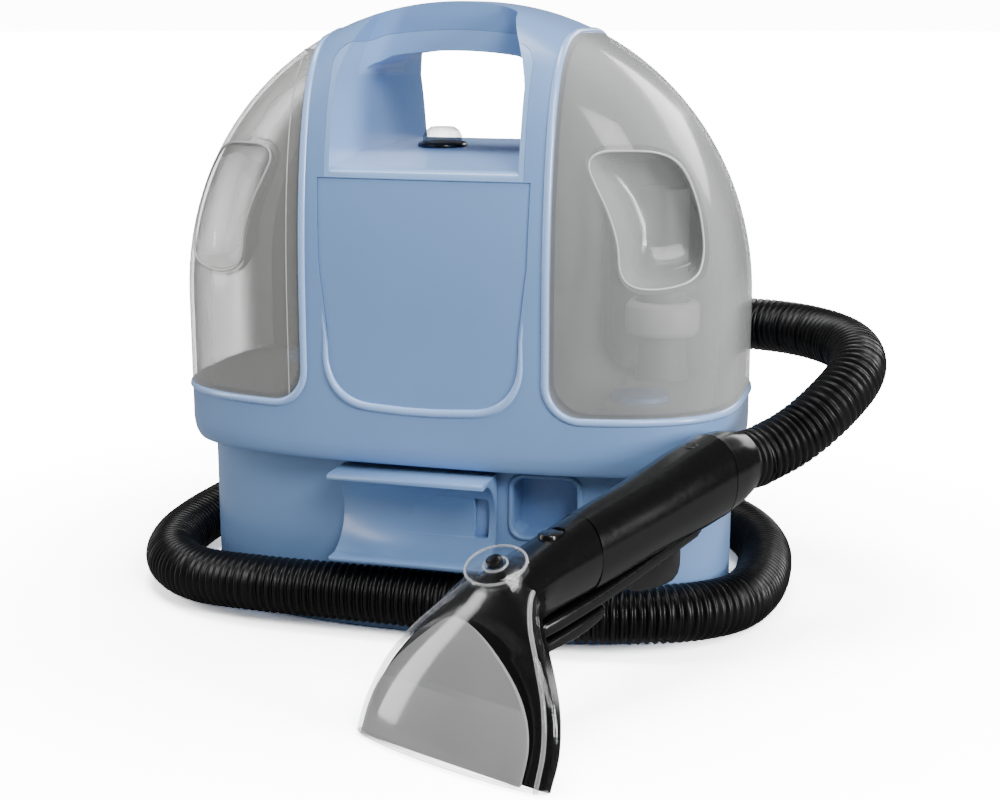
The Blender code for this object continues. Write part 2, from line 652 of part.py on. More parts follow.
def make_dirty_tank():
    tank = make_tank("dirty_tank", 1)
    drain_y = -PORT_Y - 0.012
    port_hole(tank, "dirty", PORT_X, PORT_Y)
    port_hole(tank, "drain", PORT_X, drain_y)
    place = (PORT_X, PORT_Y, 0.0)
    under = TANK_FLOOR - CAP_DEPTH
    bore = STACK_RADIUS - STACK_WALL
    turned("dirty_stack", [
        (bore, under), (CAP_RADIUS - 0.001, under), (CAP_RADIUS, under + 0.001), (CAP_RADIUS, TANK_FLOOR),
        (CAP_NECK_RADIUS, TANK_FLOOR), (CAP_NECK_RADIUS, TANK_FLOOR + 0.006), (STACK_RADIUS, TANK_FLOOR + 0.010),
        (STACK_RADIUS, STACK_TOP), (bore, STACK_TOP),
    ], grey_plastic(), place)
    float_bore = STACK_RADIUS + SLIDING_GAP
    ring = turned("float_ring", [
        (float_bore, FLOAT_REST), (FLOAT_RADIUS - 0.002, FLOAT_REST), (FLOAT_RADIUS, FLOAT_REST + 0.003),
        (FLOAT_RADIUS, FLOAT_REST + FLOAT_HEIGHT - 0.003), (FLOAT_RADIUS - 0.002, FLOAT_REST + FLOAT_HEIGHT),
        (float_bore, FLOAT_REST + FLOAT_HEIGHT),
    ], white_nylon(), place)
    put_origin(ring, (PORT_X, PORT_Y, FLOAT_REST))
    drain_profile = cap_profile(0.0, TANK_FLOOR + TANK_WALL + 0.003)
    cap = turned("drain_cap", drain_profile, blue_plastic(), (PORT_X, drain_y, 0.0))
    put_origin(cap, (PORT_X, drain_y, under))
    seal_top = under - FIT_GAP
    turned("suction_seal", [
        (bore, seal_top - 0.0030), (CAP_RADIUS - 0.002, seal_top - 0.0030), (CAP_RADIUS - 0.002, seal_top),
        (bore, seal_top),
    ], dark_rubber(), place)
    duct_top = seal_top - 0.0030 - FIT_GAP
    duct_low = duct_top - 0.030
    turned("suction_duct", [
        (bore, duct_low), (STACK_RADIUS, duct_low), (STACK_RADIUS, duct_top - 0.003),
        (CAP_RADIUS, duct_top - 0.003), (CAP_RADIUS, duct_top), (bore, duct_top),
    ], black_plastic(), place)


# ---------------------------------------------------------------- works inside

def make_works():
    """Motor, fan, pump and board, stacked up inside the column and the tub."""
    place = (0.0, MOTOR_Y, 0.0)
    hole = SHAFT_RADIUS + 0.001
    wall = 0.003
    turned("fan_housing", [
        (0.018, VOLUTE_BOTTOM), (VOLUTE_RADIUS, VOLUTE_BOTTOM), (VOLUTE_RADIUS, VOLUTE_TOP),
        (VOLUTE_RADIUS - wall, VOLUTE_TOP), (VOLUTE_RADIUS - wall, VOLUTE_BOTTOM + wall), (0.018, VOLUTE_BOTTOM + wall),
    ], grey_plastic(), place)
    fan_low = VOLUTE_BOTTOM + 0.010
    fan = turned("suction_fan", [
        (SHAFT_RADIUS + FIT_GAP, fan_low), (0.012, fan_low), (0.012, fan_low + 0.004), (FAN_RADIUS, fan_low + 0.004),
        (FAN_RADIUS, fan_low + FAN_HEIGHT), (0.012, fan_low + FAN_HEIGHT), (0.012, fan_low + FAN_HEIGHT + 0.004),
        (SHAFT_RADIUS + FIT_GAP, fan_low + FAN_HEIGHT + 0.004),
    ], white_nylon(), place)
    put_origin(fan, (0.0, MOTOR_Y, fan_low))
    shaft = cylinder("motor_shaft", SHAFT_RADIUS, fan_low - 0.002, MOTOR_TOP - 0.006, steel(), place, SMALL_ROUND_POINTS)
    put_origin(shaft, (0.0, MOTOR_Y, fan_low - 0.002))
    flange_top = VOLUTE_TOP + FIT_GAP + wall
    turned("motor_mount", [
        (hole + 0.004, VOLUTE_TOP + FIT_GAP), (VOLUTE_RADIUS, VOLUTE_TOP + FIT_GAP), (VOLUTE_RADIUS, flange_top),
        (hole + 0.004, flange_top),
    ], dark_rubber(), place)
    turned("suction_motor", [
        (hole, flange_top + FIT_GAP), (MOTOR_RADIUS - 0.003, flange_top + FIT_GAP), (MOTOR_RADIUS, MOTOR_BOTTOM + 0.004),
        (MOTOR_RADIUS, MOTOR_TOP - 0.010), (0.020, MOTOR_TOP), (hole, MOTOR_TOP),
    ], steel(), place)
    box("control_board", (-0.035, -0.060, 0.150), (0.035, -0.0584, 0.222), board_green())
    pump = box("pump_body", (-0.118, -0.030, 0.0090), (-0.062, 0.012, 0.0450), white_nylon())
    inlet = cylinder("pump_inlet", 0.0045, 0.0400, 0.0560, white_nylon(), (-0.100, -0.004, 0.0), SMALL_ROUND_POINTS)
    boolean(pump, inlet, "UNION")
    outlet = cylinder("pump_outlet", 0.0045, 0.0100, 0.0240, white_nylon(), (-0.078, 0.0, 0.0270), SMALL_ROUND_POINTS, "Y")
    boolean(pump, outlet, "UNION")


# ---------------------------------------------------------------- hose clip

def make_clip():
    """Open channel that snaps over the hose or the wand, screwed to the front of the tub."""
    back = TUB_DEPTH / 2 + FIT_GAP
    centre_y = -(back + CLIP_WALL + CLIP_RADIUS)
    outer = CLIP_RADIUS + CLIP_WALL
    inside = [(centre_y + CLIP_RADIUS * math.cos(a), CLIP_AXIS_Z + CLIP_RADIUS * math.sin(a))
              for a in np.radians(np.linspace(-72, 72, 11))]
    lip = 0.0030
    top_z = CLIP_AXIS_Z + outer - 0.0002
    low_z = CLIP_AXIS_Z - outer + 0.0002
    outline = [(-back, low_z), (-CLIP_FRONT + 0.002, low_z), (-CLIP_FRONT, low_z + 0.001), (-CLIP_FRONT, low_z + lip)]
    outline += inside
    outline += [(-CLIP_FRONT, top_z - lip), (-CLIP_FRONT, top_z - 0.001), (-CLIP_FRONT + 0.002, top_z), (-back, top_z)]
    clip = skin("hose_clip", [[(x, y, z) for y, z in outline] for x in (CLIP_LEFT, CLIP_RIGHT)], blue_plastic())
    for word, low, high in (("a", 0.0255, 0.0300), ("b", 0.0325, 0.0375)):
        boolean(clip, box(f"cut_clip_{word}", (low, -0.0920, 0.0600), (high, -back + 0.01, 0.0850)))


# ---------------------------------------------------------------- wand, in its own frame

def along(origin, heading, distance):
    return (origin[0] + distance * math.sin(heading), origin[1] + distance * math.cos(heading), 0.0)


def tool_origin():
    """Middle of the tool's mouth on the ground."""
    return (MOUTH_X, MOUTH_Y, 0.0)


def wand_origin():
    """The wand's frame starts where its axis, run forward from the end of the neck, meets the mouth."""
    neck = along(tool_origin(), TOOL_HEADING, NECK_END)
    return along(neck, WAND_HEADING, -NECK_END)


def heading_frame(name, origin, heading):
    """Empty turned so that its +Y runs back along the tool or the wand."""
    frame = bpy.data.objects.new(name, None)
    frame.location = origin
    frame.rotation_euler = (0.0, 0.0, -heading)
    bpy.context.scene.collection.objects.link(frame)
    return frame


def oval(s, z, half_width, half_height, count=20, power=2.2):
    return [(x, s, z + h) for x, h in superellipse(half_width, half_height, power, count)]


GRIP_SECTIONS = [
    (NECK_END + FIT_GAP, 0.0812, 0.0174, 0.0203),
    (0.1230, 0.0858, 0.0181, 0.0205),
    (0.1500, 0.0925, 0.0194, 0.0208),
    (0.1780, 0.0990, 0.0204, 0.0228),
    (0.1995, 0.1038, 0.0204, 0.0228),
]
CUFF_SECTIONS = [
    (0.2000, 0.1038, 0.0204, 0.0228),
    (0.2120, 0.1058, 0.0193, 0.0207),
    (0.2215, 0.1075, 0.0176, 0.0177),
]
RAIL_SECTIONS = [
    (0.0680, 0.0480, 0.0080, 0.0050),
    (0.0850, 0.0518, 0.0092, 0.0052),
    (0.1055, 0.0566, 0.0096, 0.0050),
    (0.1340, 0.0642, 0.0096, 0.0050),
    (0.1610, 0.0722, 0.0094, 0.0050),
    (0.1880, 0.0800, 0.0090, 0.0044),
]
COVER_SECTIONS = [
    (0.0760, 0.0400, 0.0078, 0.0038),
    (0.0980, 0.0444, 0.0082, 0.0048),
    (0.1170, 0.0498, 0.0074, 0.0036),
]
# The tool's path: place along and height, share of the mouth's width, depths to the front and back,
# and how far the section is turned about the upright, in degrees.
TOOL_SECTIONS = [
    (0.0100, 0.0012, 1.000, 0.0090, 0.0080, -4.0),
    (0.0170, 0.0180, 0.985, 0.0110, 0.0120, -4.0),
    (0.0240, 0.0360, 0.890, 0.0125, 0.0150, -3.5),
    (0.0310, 0.0520, 0.720, 0.0135, 0.0175, -2.5),
    (0.0390, 0.0652, 0.525, 0.0140, 0.0195, -1.0),
    (0.0490, 0.0745, 0.380, 0.0150, 0.0220, 1.0),
    (0.0670, 0.0782, 0.300, 0.0142, 0.0215, 3.5),
    (NECK_END, 0.0812, 0.2974, 0.0203, 0.0203, 6.0),
]


def tool_place(index):
    """Centre of one section of the tool, its direction across and its direction to the front."""
    spots = [Vector((0.0, s, z)) for s, z, *_ in TOOL_SECTIONS]
    turn = math.radians(TOOL_SECTIONS[index][5])
    across = Vector((math.cos(turn), -math.sin(turn), 0.0))
    if index == 0:
        return spots[0], across, across.cross(Vector((0.0, 0.0, 1.0)))
    if index == len(spots) - 1:
        return spots[-1], across, Vector((0.0, 0.0, 1.0))
    upward = (spots[index + 1] - spots[index - 1]).normalized()
    forward = upward.cross(across).normalized()
    return spots[index], across, -forward if forward.z < 0 else forward


def tool_ring(index, front, back, inset=0.0, count=10):
    """One closed ring: an arc of the given depth to the front, its ends set in, and one to the back."""
    centre, across, forward = tool_place(index)
    half = MOUTH_HALF_WIDTH * TOOL_SECTIONS[index][2]
    ring = []
    for k in range(2 * count):
        angle = math.pi * k / count
        depth = front if 0 < k < count else back
        reach = half - inset if k <= count else half
        ring.append(centre + across * reach * math.cos(angle) + forward * depth * math.sin(angle))
    return ring


def window_ring(index, shell, count=10):
    """A C-shaped ring: the clear cover's outer arc and the inner arc one wall behind it."""
    centre, across, forward = tool_place(index)
    half = MOUTH_HALF_WIDTH * TOOL_SECTIONS[index][2]
    front = TOOL_SECTIONS[index][3]
    ring = []
    for inset, order in ((0.0, range(count + 1)), (shell, range(count, -1, -1))):
        for k in order:
            angle = math.pi * k / count
            lift = 0.0006 + (front - inset) * math.sin(angle)
            ring.append(centre + across * (half - inset) * math.cos(angle) + forward * lift)
    return ring


def neck_top(s):
    """Height of the top of the tool's neck at a place along it."""
    (near_s, near_z, _, near_front, *_), (far_s, far_z, _, far_front, *_) = TOOL_SECTIONS[-2:]
    share = (s - near_s) / (far_s - near_s)
    return near_z + near_front + share * (far_z + far_front - near_z - near_front)


def make_tool(frame):
    """Black back shell and neck, clear front cover, grey face plate and spray tip."""
    flat = 0.0002
    fronts = (flat, flat, flat, flat, 0.0080, 0.0115, 0.0142, 0.0203)
    covered = 6
    insets = [WINDOW_SHELL + 0.0010] * covered + [0.0] * (len(TOOL_SECTIONS) - covered)
    rings = [tool_ring(i, fronts[i], row[4], insets[i]) for i, row in enumerate(TOOL_SECTIONS)]
    shell = skin("tool_shell", rings, black_plastic())
    shell.parent = frame
    window = skin("tool_window", [window_ring(i, WINDOW_SHELL) for i in range(covered)], smoke_clear())
    centre, across, forward = tool_place(covered - 1)
    upward = forward.cross(across)
    rings = []
    for offset in (0.0140, 0.0178):
        rings.append([centre + forward * offset + across * x + upward * y
                      for x, y in superellipse(0.0170, 0.0150, 2.0, SMALL_ROUND_POINTS)])
    tab = skin("window_tab", rings)
    tab.parent = frame
    boolean(window, tab, "UNION")
    window.parent = frame
    face = []
    for i in range(4):
        spot, sideways, front = tool_place(i)
        half = MOUTH_HALF_WIDTH * TOOL_SECTIONS[i][2] - 0.0075
        face.append([spot + sideways * x + front * d for x, d in
                     ((-half, 0.0012), (half, 0.0012), (half, 0.0030), (-half, 0.0030))])
    baffle = skin("tool_face", face, grey_plastic())
    baffle.parent = frame
    tip = cylinder("spray_tip", 0.0040, 0.0, 0.0030, black_plastic(), (0.0, 0.0, 0.0), SMALL_ROUND_POINTS)
    tip.data.transform(forward.to_track_quat("Z", "X").to_matrix().to_4x4())
    tip.data.transform(Matrix.Translation(centre + forward * 0.0181))
    tip.parent = frame


def make_wand(frame):
    """Grip, rear cuff, lower rail with its trigger, and the cover over the water tube."""
    grip = skin("wand_grip", [oval(*row) for row in GRIP_SECTIONS], black_plastic())
    grip.parent = frame
    groove = skin("cut_grip_groove", [oval(s, z, half + 0.0004, high + 0.0004, 12, 3.0)
                                      for s, z, half, high in RAIL_SECTIONS])
    groove.parent = frame
    boolean(grip, groove)
    cuff = skin("wand_cuff", [oval(*row) for row in CUFF_SECTIONS], black_plastic())
    cuff.parent = frame
    rail = skin("wand_rail", [oval(*row, 12, 3.0) for row in RAIL_SECTIONS], black_plastic())
    rail.parent = frame
    room = TRIGGER_HALF_WIDTH + 0.0006
    slot = box("cut_rail_slot", (-room, 0.0990, 0.030), (room, 0.1745, 0.100))
    slot.parent = frame
    boolean(rail, slot)
    pivot_s, pivot_z = TRIGGER_PIVOT
    hole = cylinder("cut_pin", TRIGGER_PIN_RADIUS + FIT_GAP, -0.02, 0.02, None, (0.0, pivot_s, pivot_z),
                    SMALL_ROUND_POINTS, "X")
    hole.parent = frame
    boolean(rail, hole)
    profile = [(0.1002, 0.0542), (0.1002, 0.0598), (0.1060, 0.0606), (0.1340, 0.0670), (0.1610, 0.0735),
               (0.1720, 0.0764), (0.1732, 0.0680), (0.1725, 0.0590), (0.1680, 0.0545), (0.1600, 0.0530),
               (0.1460, 0.0532), (0.1370, 0.0552), (0.1290, 0.0588), (0.1180, 0.0570)]
    trigger = skin("trigger", [[(x, s, z) for s, z in profile] for x in (-TRIGGER_HALF_WIDTH, TRIGGER_HALF_WIDTH)],
                   black_plastic())
    trigger.parent = frame
    boolean(trigger, hole)
    put_origin(trigger, (0.0, pivot_s, pivot_z))
    pin = cylinder("trigger_pin", TRIGGER_PIN_RADIUS, -0.0085, 0.0085, steel(), (0.0, pivot_s, pivot_z),
                   SMALL_ROUND_POINTS, "X")
    pin.parent = frame
    cover = skin("tube_cover", [oval(*row, 12, 3.0) for row in COVER_SECTIONS], black_plastic())
    cover.parent = frame


def make_latch(frame):
    """Button on top of the neck that frees the tool from the grip."""
    top = neck_top(LATCH_S)
    low = top - 0.0046
    latch = skin("latch_button", [
        [(x, LATCH_S + y, z) for x, y in superellipse(0.0055 - pull, 0.0068 - pull, 2.6, 16)]
        for z, pull in ((low, 0.0), (top + 0.0004, 0.0), (top + 0.0012, 0.0008))], grey_plastic())
    latch.parent = frame
    pocket = skin("cut_latch", [
        [(x, LATCH_S + y, z) for x, y in superellipse(0.0055 + FIT_GAP, 0.0068 + FIT_GAP, 2.6, 16)]
        for z in (low - LATCH_TRAVEL - 0.0005, top + 0.02)])
    pocket.parent = frame
    boolean(bpy.data.objects["tool_shell"], pocket)
    put_origin(latch, (0.0, LATCH_S, low))


# ---------------------------------------------------------------- hose

HOSE_ROUTE = [
    (-0.0450, 0.0965, 0.0500),
    (-0.0450, 0.1180, 0.0495),
    (-0.0370, 0.1450, 0.0420),
    (-0.0050, 0.1650, 0.0290),
    (0.0400, 0.1750, 0.0200),
    (0.0850, 0.1680, 0.0172),
    (0.1240, 0.1460, 0.0168),
    (0.1520, 0.1130, 0.0168),
    (0.1690, 0.0750, 0.0168),
    (0.1757, 0.0350, 0.0168),
    (0.1757, -0.0060, 0.0168),
    (0.1675, -0.0410, 0.0185),
    (0.1440, -0.0720, 0.0215),
    (0.1070, -0.0885, 0.0222),
    (0.0600, -0.0920, 0.0222),
    (0.0000, -0.0922, 0.0222),
    (-0.0600, -0.0922, 0.0222),
    (-0.1080, -0.0900, 0.0215),
    (-0.1460, -0.0780, 0.0190),
    (-0.1760, -0.0500, 0.0172),
    (-0.1915, -0.0130, 0.0168),
    (-0.1965, 0.0280, 0.0168),
    (-0.1940, 0.0680, 0.0180),
    (-0.1820, 0.1060, 0.0240),
    (-0.1580, 0.1320, 0.0400),
    (-0.1240, 0.1390, 0.0650),
    (-0.0840, 0.1320, 0.0910),
    (-0.0380, 0.1195, 0.1130),
    (0.0120, 0.1150, 0.1300),
    (0.0650, 0.1150, 0.1430),
    (0.1150, 0.1170, 0.1505),
    (0.1620, 0.1080, 0.1530),
    (0.1990, 0.0840, 0.1530),
    (0.2210, 0.0520, 0.1505),
    (0.2265, 0.0180, 0.1440),
    (0.2160, -0.0100, 0.1310),
    (0.1980, -0.0310, 0.1160),
]
HOSE_POINTS = 80


def wand_to_world(s, z):
    x, y, _ = along(wand_origin(), WAND_HEADING, s)
    return (x, y, z)


def smooth_route(route, count):
    """Evenly spaced points on a centripetal Catmull-Rom curve through the route's points."""
    spots = [np.array(p, float) for p in route]
    spots = [2 * spots[0] - spots[1]] + spots + [2 * spots[-1] - spots[-2]]
    dense = []
    for a, b, c, d in zip(spots, spots[1:], spots[2:], spots[3:]):
        t1 = np.linalg.norm(b - a) ** 0.5
        t2 = t1 + np.linalg.norm(c - b) ** 0.5
        t3 = t2 + np.linalg.norm(d - c) ** 0.5
        for t in np.linspace(t1, t2, 24, endpoint=False):
            ab = a + (b - a) * t / t1
            bc = b + (c - b) * (t - t1) / (t2 - t1)
            cd = c + (d - c) * (t - t2) / (t3 - t2)
            abc = ab + (bc - ab) * t / t2
            bcd = bc + (cd - bc) * (t - t1) / (t3 - t1)
            dense.append(abc + (bcd - abc) * (t - t1) / (t2 - t1))
    dense.append(spots[-2])
    dense = np.array(dense)
    walked = np.concatenate([[0.0], np.cumsum(np.linalg.norm(np.diff(dense, axis=0), axis=1))])
    wanted = np.linspace(0.0, walked[-1], count)
    return [tuple(np.interp(w, walked, dense[:, k]) for k in range(3)) for w in wanted]


def make_hose():
    """One smooth tube from the socket to the cuff, with a straight run at each end."""
    cuff_end, cuff_height, *_ = CUFF_SECTIONS[-1]
    straight = 0.016
    bend_end = wand_to_world(cuff_end + straight, cuff_height)
    points = smooth_route(HOSE_ROUTE + [bend_end], HOSE_POINTS - 1)
    points.append(wand_to_world(cuff_end + FIT_GAP, cuff_height))
    data = bpy.data.curves.new("suction_hose", "CURVE")
    data.dimensions = "3D"
    data.bevel_depth = HOSE_DIAMETER / 2
    data.bevel_resolution = 3
    data.use_fill_caps = True
    data.resolution_u = 1
    line = data.splines.new("POLY")
    line.points.add(len(points) - 1)
    for spot, place in zip(line.points, points):
        spot.co = (*place, 1.0)
    data.materials.append(dark_rubber())
    obj = bpy.data.objects.new("suction_hose", data)
    bpy.context.scene.collection.objects.link(obj)


clear_scene()
make_base()
make_rear_fittings()
make_hooks()
make_body()
make_button()
make_clean_tank()
make_dirty_tank()
make_works()
make_clip()
tool = heading_frame("tool_frame", tool_origin(), TOOL_HEADING)
wand = heading_frame("wand_frame", wand_origin(), WAND_HEADING)
make_tool(tool)
make_latch(tool)
make_wand(wand)
make_hose()
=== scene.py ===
import math

import bmesh
import bpy
import numpy as np
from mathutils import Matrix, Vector


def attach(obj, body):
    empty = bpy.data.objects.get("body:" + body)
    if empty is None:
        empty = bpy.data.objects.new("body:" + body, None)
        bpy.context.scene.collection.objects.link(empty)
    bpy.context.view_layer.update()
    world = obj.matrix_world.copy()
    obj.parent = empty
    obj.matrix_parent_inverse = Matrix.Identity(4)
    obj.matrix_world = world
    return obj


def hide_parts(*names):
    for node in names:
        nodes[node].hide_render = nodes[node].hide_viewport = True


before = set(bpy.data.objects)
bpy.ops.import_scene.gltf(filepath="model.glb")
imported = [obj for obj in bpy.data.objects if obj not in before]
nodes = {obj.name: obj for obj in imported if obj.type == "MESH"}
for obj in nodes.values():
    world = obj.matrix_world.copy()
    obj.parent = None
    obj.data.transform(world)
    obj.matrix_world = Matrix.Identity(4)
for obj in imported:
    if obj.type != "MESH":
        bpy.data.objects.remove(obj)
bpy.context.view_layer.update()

scene = bpy.context.scene


# ---------------------------------------------------------------- viewpoint
# The machine is seen from the front, a little from the right and from just above the tanks. Left
# and right are as they are seen from there.
def placed(name, data):
    """Puts a new object with this data in the scene."""
    obj = bpy.data.objects.new(name, data)
    scene.collection.objects.link(obj)
    return obj


def aim(obj, place, direction):
    """Stands a camera or a lamp at its place and turns it to look this way."""
    obj.location = place
    obj.rotation_euler = Vector(direction).to_track_quat("-Z", "Y").to_euler()


camera_data = bpy.data.cameras.new("front_view")
camera_data.lens = 61.93
camera_data.sensor_width = 36.0
scene.camera = placed("front_view", camera_data)
aim(scene.camera, (0.30171, -0.96608, 0.3466), (-0.27397, 0.93603, -0.22085))

# ---------------------------------------------------------------- suction hose
# Blow-moulded corrugated hose in soft black vinyl, 33 mm over its ridges. It is pushed into the
# socket at the back, goes once round the foot of the machine, rises over the two lower hooks and
# comes round the right side to the cuff of the wand, where it is glued.
HOSE_DIAMETER = 0.033
HOSE_PITCH = 0.0046
GROOVE_DEPTH = 0.0024
RIDGE_POWER = 1.1
LINE_STEP = 0.006
TOOL_HEADING = math.radians(26)
WAND_HEADING = math.radians(32)
MOUTH = Vector((0.063, -0.2575, 0.0))
NECK_END = 0.103
CUFF_END = 0.2215
CUFF_HEIGHT = 0.1075


def heading_axes(heading):
    """Direction back along a tool or wand lying at this heading, and the direction across it."""
    run, rise = math.sin(heading), math.cos(heading)
    return Vector((run, rise, 0.0)), Vector((rise, -run, 0.0))


tool_back, tool_across = heading_axes(TOOL_HEADING)
wand_back, wand_across = heading_axes(WAND_HEADING)
wand_start = MOUTH + tool_back * NECK_END - wand_back * NECK_END


def wand_point(s, across, z):
    return wand_start + wand_back * s + wand_across * across + Vector((0.0, 0.0, z))


hose_route = [
    (-0.045, 0.0965, 0.05), (-0.045, 0.118, 0.0495), (-0.037, 0.145, 0.042), (-0.005, 0.165, 0.029),
    (0.04, 0.175, 0.02), (0.085, 0.168, 0.0172), (0.124, 0.146, 0.0168), (0.152, 0.113, 0.0168),
    (0.169, 0.075, 0.0168), (0.1757, 0.035, 0.0168), (0.1757, -0.006, 0.0168), (0.1675, -0.041, 0.0185),
    (0.144, -0.072, 0.0215), (0.107, -0.0885, 0.0222), (0.06, -0.092, 0.0222), (0.0, -0.0922, 0.0222),
    (-0.06, -0.0922, 0.0222), (-0.108, -0.09, 0.0215), (-0.146, -0.078, 0.019), (-0.176, -0.05, 0.0172),
    (-0.1915, -0.013, 0.0168), (-0.1965, 0.028, 0.0168), (-0.194, 0.068, 0.018), (-0.182, 0.106, 0.024),
    (-0.158, 0.132, 0.04), (-0.124, 0.139, 0.065), (-0.084, 0.132, 0.091), (-0.038, 0.1195, 0.113),
    (0.012, 0.115, 0.13), (0.065, 0.115, 0.143), (0.115, 0.117, 0.1505), (0.162, 0.108, 0.153),
    (0.199, 0.084, 0.153), (0.221, 0.052, 0.1505), (0.2265, 0.018, 0.144), (0.216, -0.01, 0.131),
    (0.198, -0.031, 0.116),
    tuple(wand_point(CUFF_END + 0.016, 0.0, CUFF_HEIGHT)),
]


def smooth_line(route, step):
    """Evenly spaced points on a centripetal Catmull-Rom curve through the route's points."""
    spots = [np.array(p, float) for p in route]
    spots = [2 * spots[0] - spots[1]] + spots + [2 * spots[-1] - spots[-2]]
    dense = []
    for a, b, c, d in zip(spots, spots[1:], spots[2:], spots[3:]):
        t1 = np.linalg.norm(b - a) ** 0.5
        t2 = t1 + np.linalg.norm(c - b) ** 0.5
        t3 = t2 + np.linalg.norm(d - c) ** 0.5
        for t in np.linspace(t1, t2, 24, endpoint=False):
            ab = a + (b - a) * t / t1
            bc = b + (c - b) * (t - t1) / (t2 - t1)
            cd = c + (d - c) * (t - t2) / (t3 - t2)
            abc = ab + (bc - ab) * t / t2
            bcd = bc + (cd - bc) * (t - t1) / (t3 - t1)
            dense.append(abc + (bcd - abc) * (t - t1) / (t2 - t1))
    dense.append(spots[-2])
    dense = np.array(dense)
    walked = np.concatenate([[0.0], np.cumsum(np.linalg.norm(np.diff(dense, axis=0), axis=1))])
    wanted = np.linspace(0.0, walked[-1], int(round(walked[-1] / step)) + 1)
    return [Vector([np.interp(w, walked, dense[:, k]) for k in range(3)]) for w in wanted]


hose_line = smooth_line(hose_route, LINE_STEP)
hose_line.append(wand_point(CUFF_END + 0.0003, 0.0, CUFF_HEIGHT))


HOSE_SIZES = {"Ridge radius": HOSE_DIAMETER / 2, "Groove depth": GROOVE_DEPTH, "Pitch": HOSE_PITCH,
              "Step": HOSE_PITCH / 8}


def join(tree, node, inputs):
    """Sets each input named to its value, or joins it to the output given."""
    for place, value in inputs.items():
        if isinstance(value, bpy.types.NodeSocket):
            tree.links.new(value, node.inputs[place])
        else:
            node.inputs[place].default_value = value


def add(tree, kind, inputs=None, **settings):
    """Adds a node with these inputs and settings, and hands back its outputs."""
    node = tree.nodes.new(kind)
    for word, value in settings.items():
        setattr(node, word, value)
    join(tree, node, inputs or {})
    return node.outputs


def corrugated_tree():
    """Sweeps a circle along a line, its radius rising and falling once for each corrugation."""
    tree = bpy.data.node_groups.new("corrugated_tube", "GeometryNodeTree")
    socket = tree.interface.new_socket
    socket("Line", in_out="INPUT", socket_type="NodeSocketGeometry")
    for word, value in HOSE_SIZES.items():
        socket(word, in_out="INPUT", socket_type="NodeSocketFloat").default_value = value
    socket("Finish", in_out="INPUT", socket_type="NodeSocketMaterial")
    socket("Tube", in_out="OUTPUT", socket_type="NodeSocketGeometry")

    def maths(kind, *values):
        return add(tree, "ShaderNodeMath", dict(enumerate(values)), operation=kind)[0]

    given = add(tree, "NodeGroupInput")
    even = add(tree, "GeometryNodeResampleCurve", {"Curve": given["Line"], "Length": given["Step"]},
               mode="LENGTH")
    along = add(tree, "GeometryNodeSplineParameter")["Length"]
    turns = maths("MULTIPLY", maths("DIVIDE", along, given["Pitch"]), 2.0 * math.pi)
    wave = maths("MULTIPLY_ADD", maths("COSINE", turns), 0.5, 0.5)
    sunk = maths("MULTIPLY", maths("SUBTRACT", 1.0, maths("POWER", wave, RIDGE_POWER)), given["Groove depth"])
    radius = maths("SUBTRACT", given["Ridge radius"], sunk)
    thick = add(tree, "GeometryNodeSetCurveRadius", {"Curve": even["Curve"], "Radius": radius})
    circle = add(tree, "GeometryNodeCurvePrimitiveCircle", {"Resolution": 30, "Radius": 1.0})
    spread = add(tree, "GeometryNodeInputRadius")[0]
    sweep = add(tree, "GeometryNodeCurveToMesh", {"Curve": thick["Curve"], "Profile Curve": circle["Curve"],
                                                  "Scale": spread, "Fill Caps": True})
    smooth = add(tree, "GeometryNodeSetShadeSmooth", {"Geometry": sweep["Mesh"]})
    real = add(tree, "GeometryNodeRealizeInstances", {"Geometry": smooth["Geometry"]})
    painted = add(tree, "GeometryNodeSetMaterial", {"Geometry": real["Geometry"], "Material": given["Finish"]})
    add(tree, "NodeGroupOutput", {"Tube": painted["Geometry"]})
    return tree


def as_mesh(obj):
    """The mesh that an object's modifiers make of it."""
    bpy.context.view_layer.update()
    return bpy.data.meshes.new_from_object(obj.evaluated_get(bpy.context.evaluated_depsgraph_get()))


def settled(obj):
    """The same piece as a new object with a plain mesh."""
    name, mesh = obj.name, as_mesh(obj)
    bpy.data.objects.remove(obj)
    mesh.name = name
    return placed(name, mesh)


def grow(obj, tree, sizes):
    """Runs a tree on an object with the given sizes and keeps the result as a plain mesh."""
    modifier = obj.modifiers.new(tree.name, "NODES")
    modifier.node_group = tree
    for item in tree.interface.items_tree:
        if item.item_type == "SOCKET" and item.in_out == "INPUT" and item.name in sizes:
            modifier[item.identifier] = sizes[item.name]
    return settled(obj)


def plain_line(name, points, closed=False):
    data = bpy.data.curves.new(name, "CURVE")
    data.dimensions = "3D"
    spline = data.splines.new("POLY")
    spline.points.add(len(points) - 1)
    for spot, place in zip(spline.points, points):
        spot.co = (*place, 1.0)
    spline.use_cyclic_u = closed
    return placed(name, data)


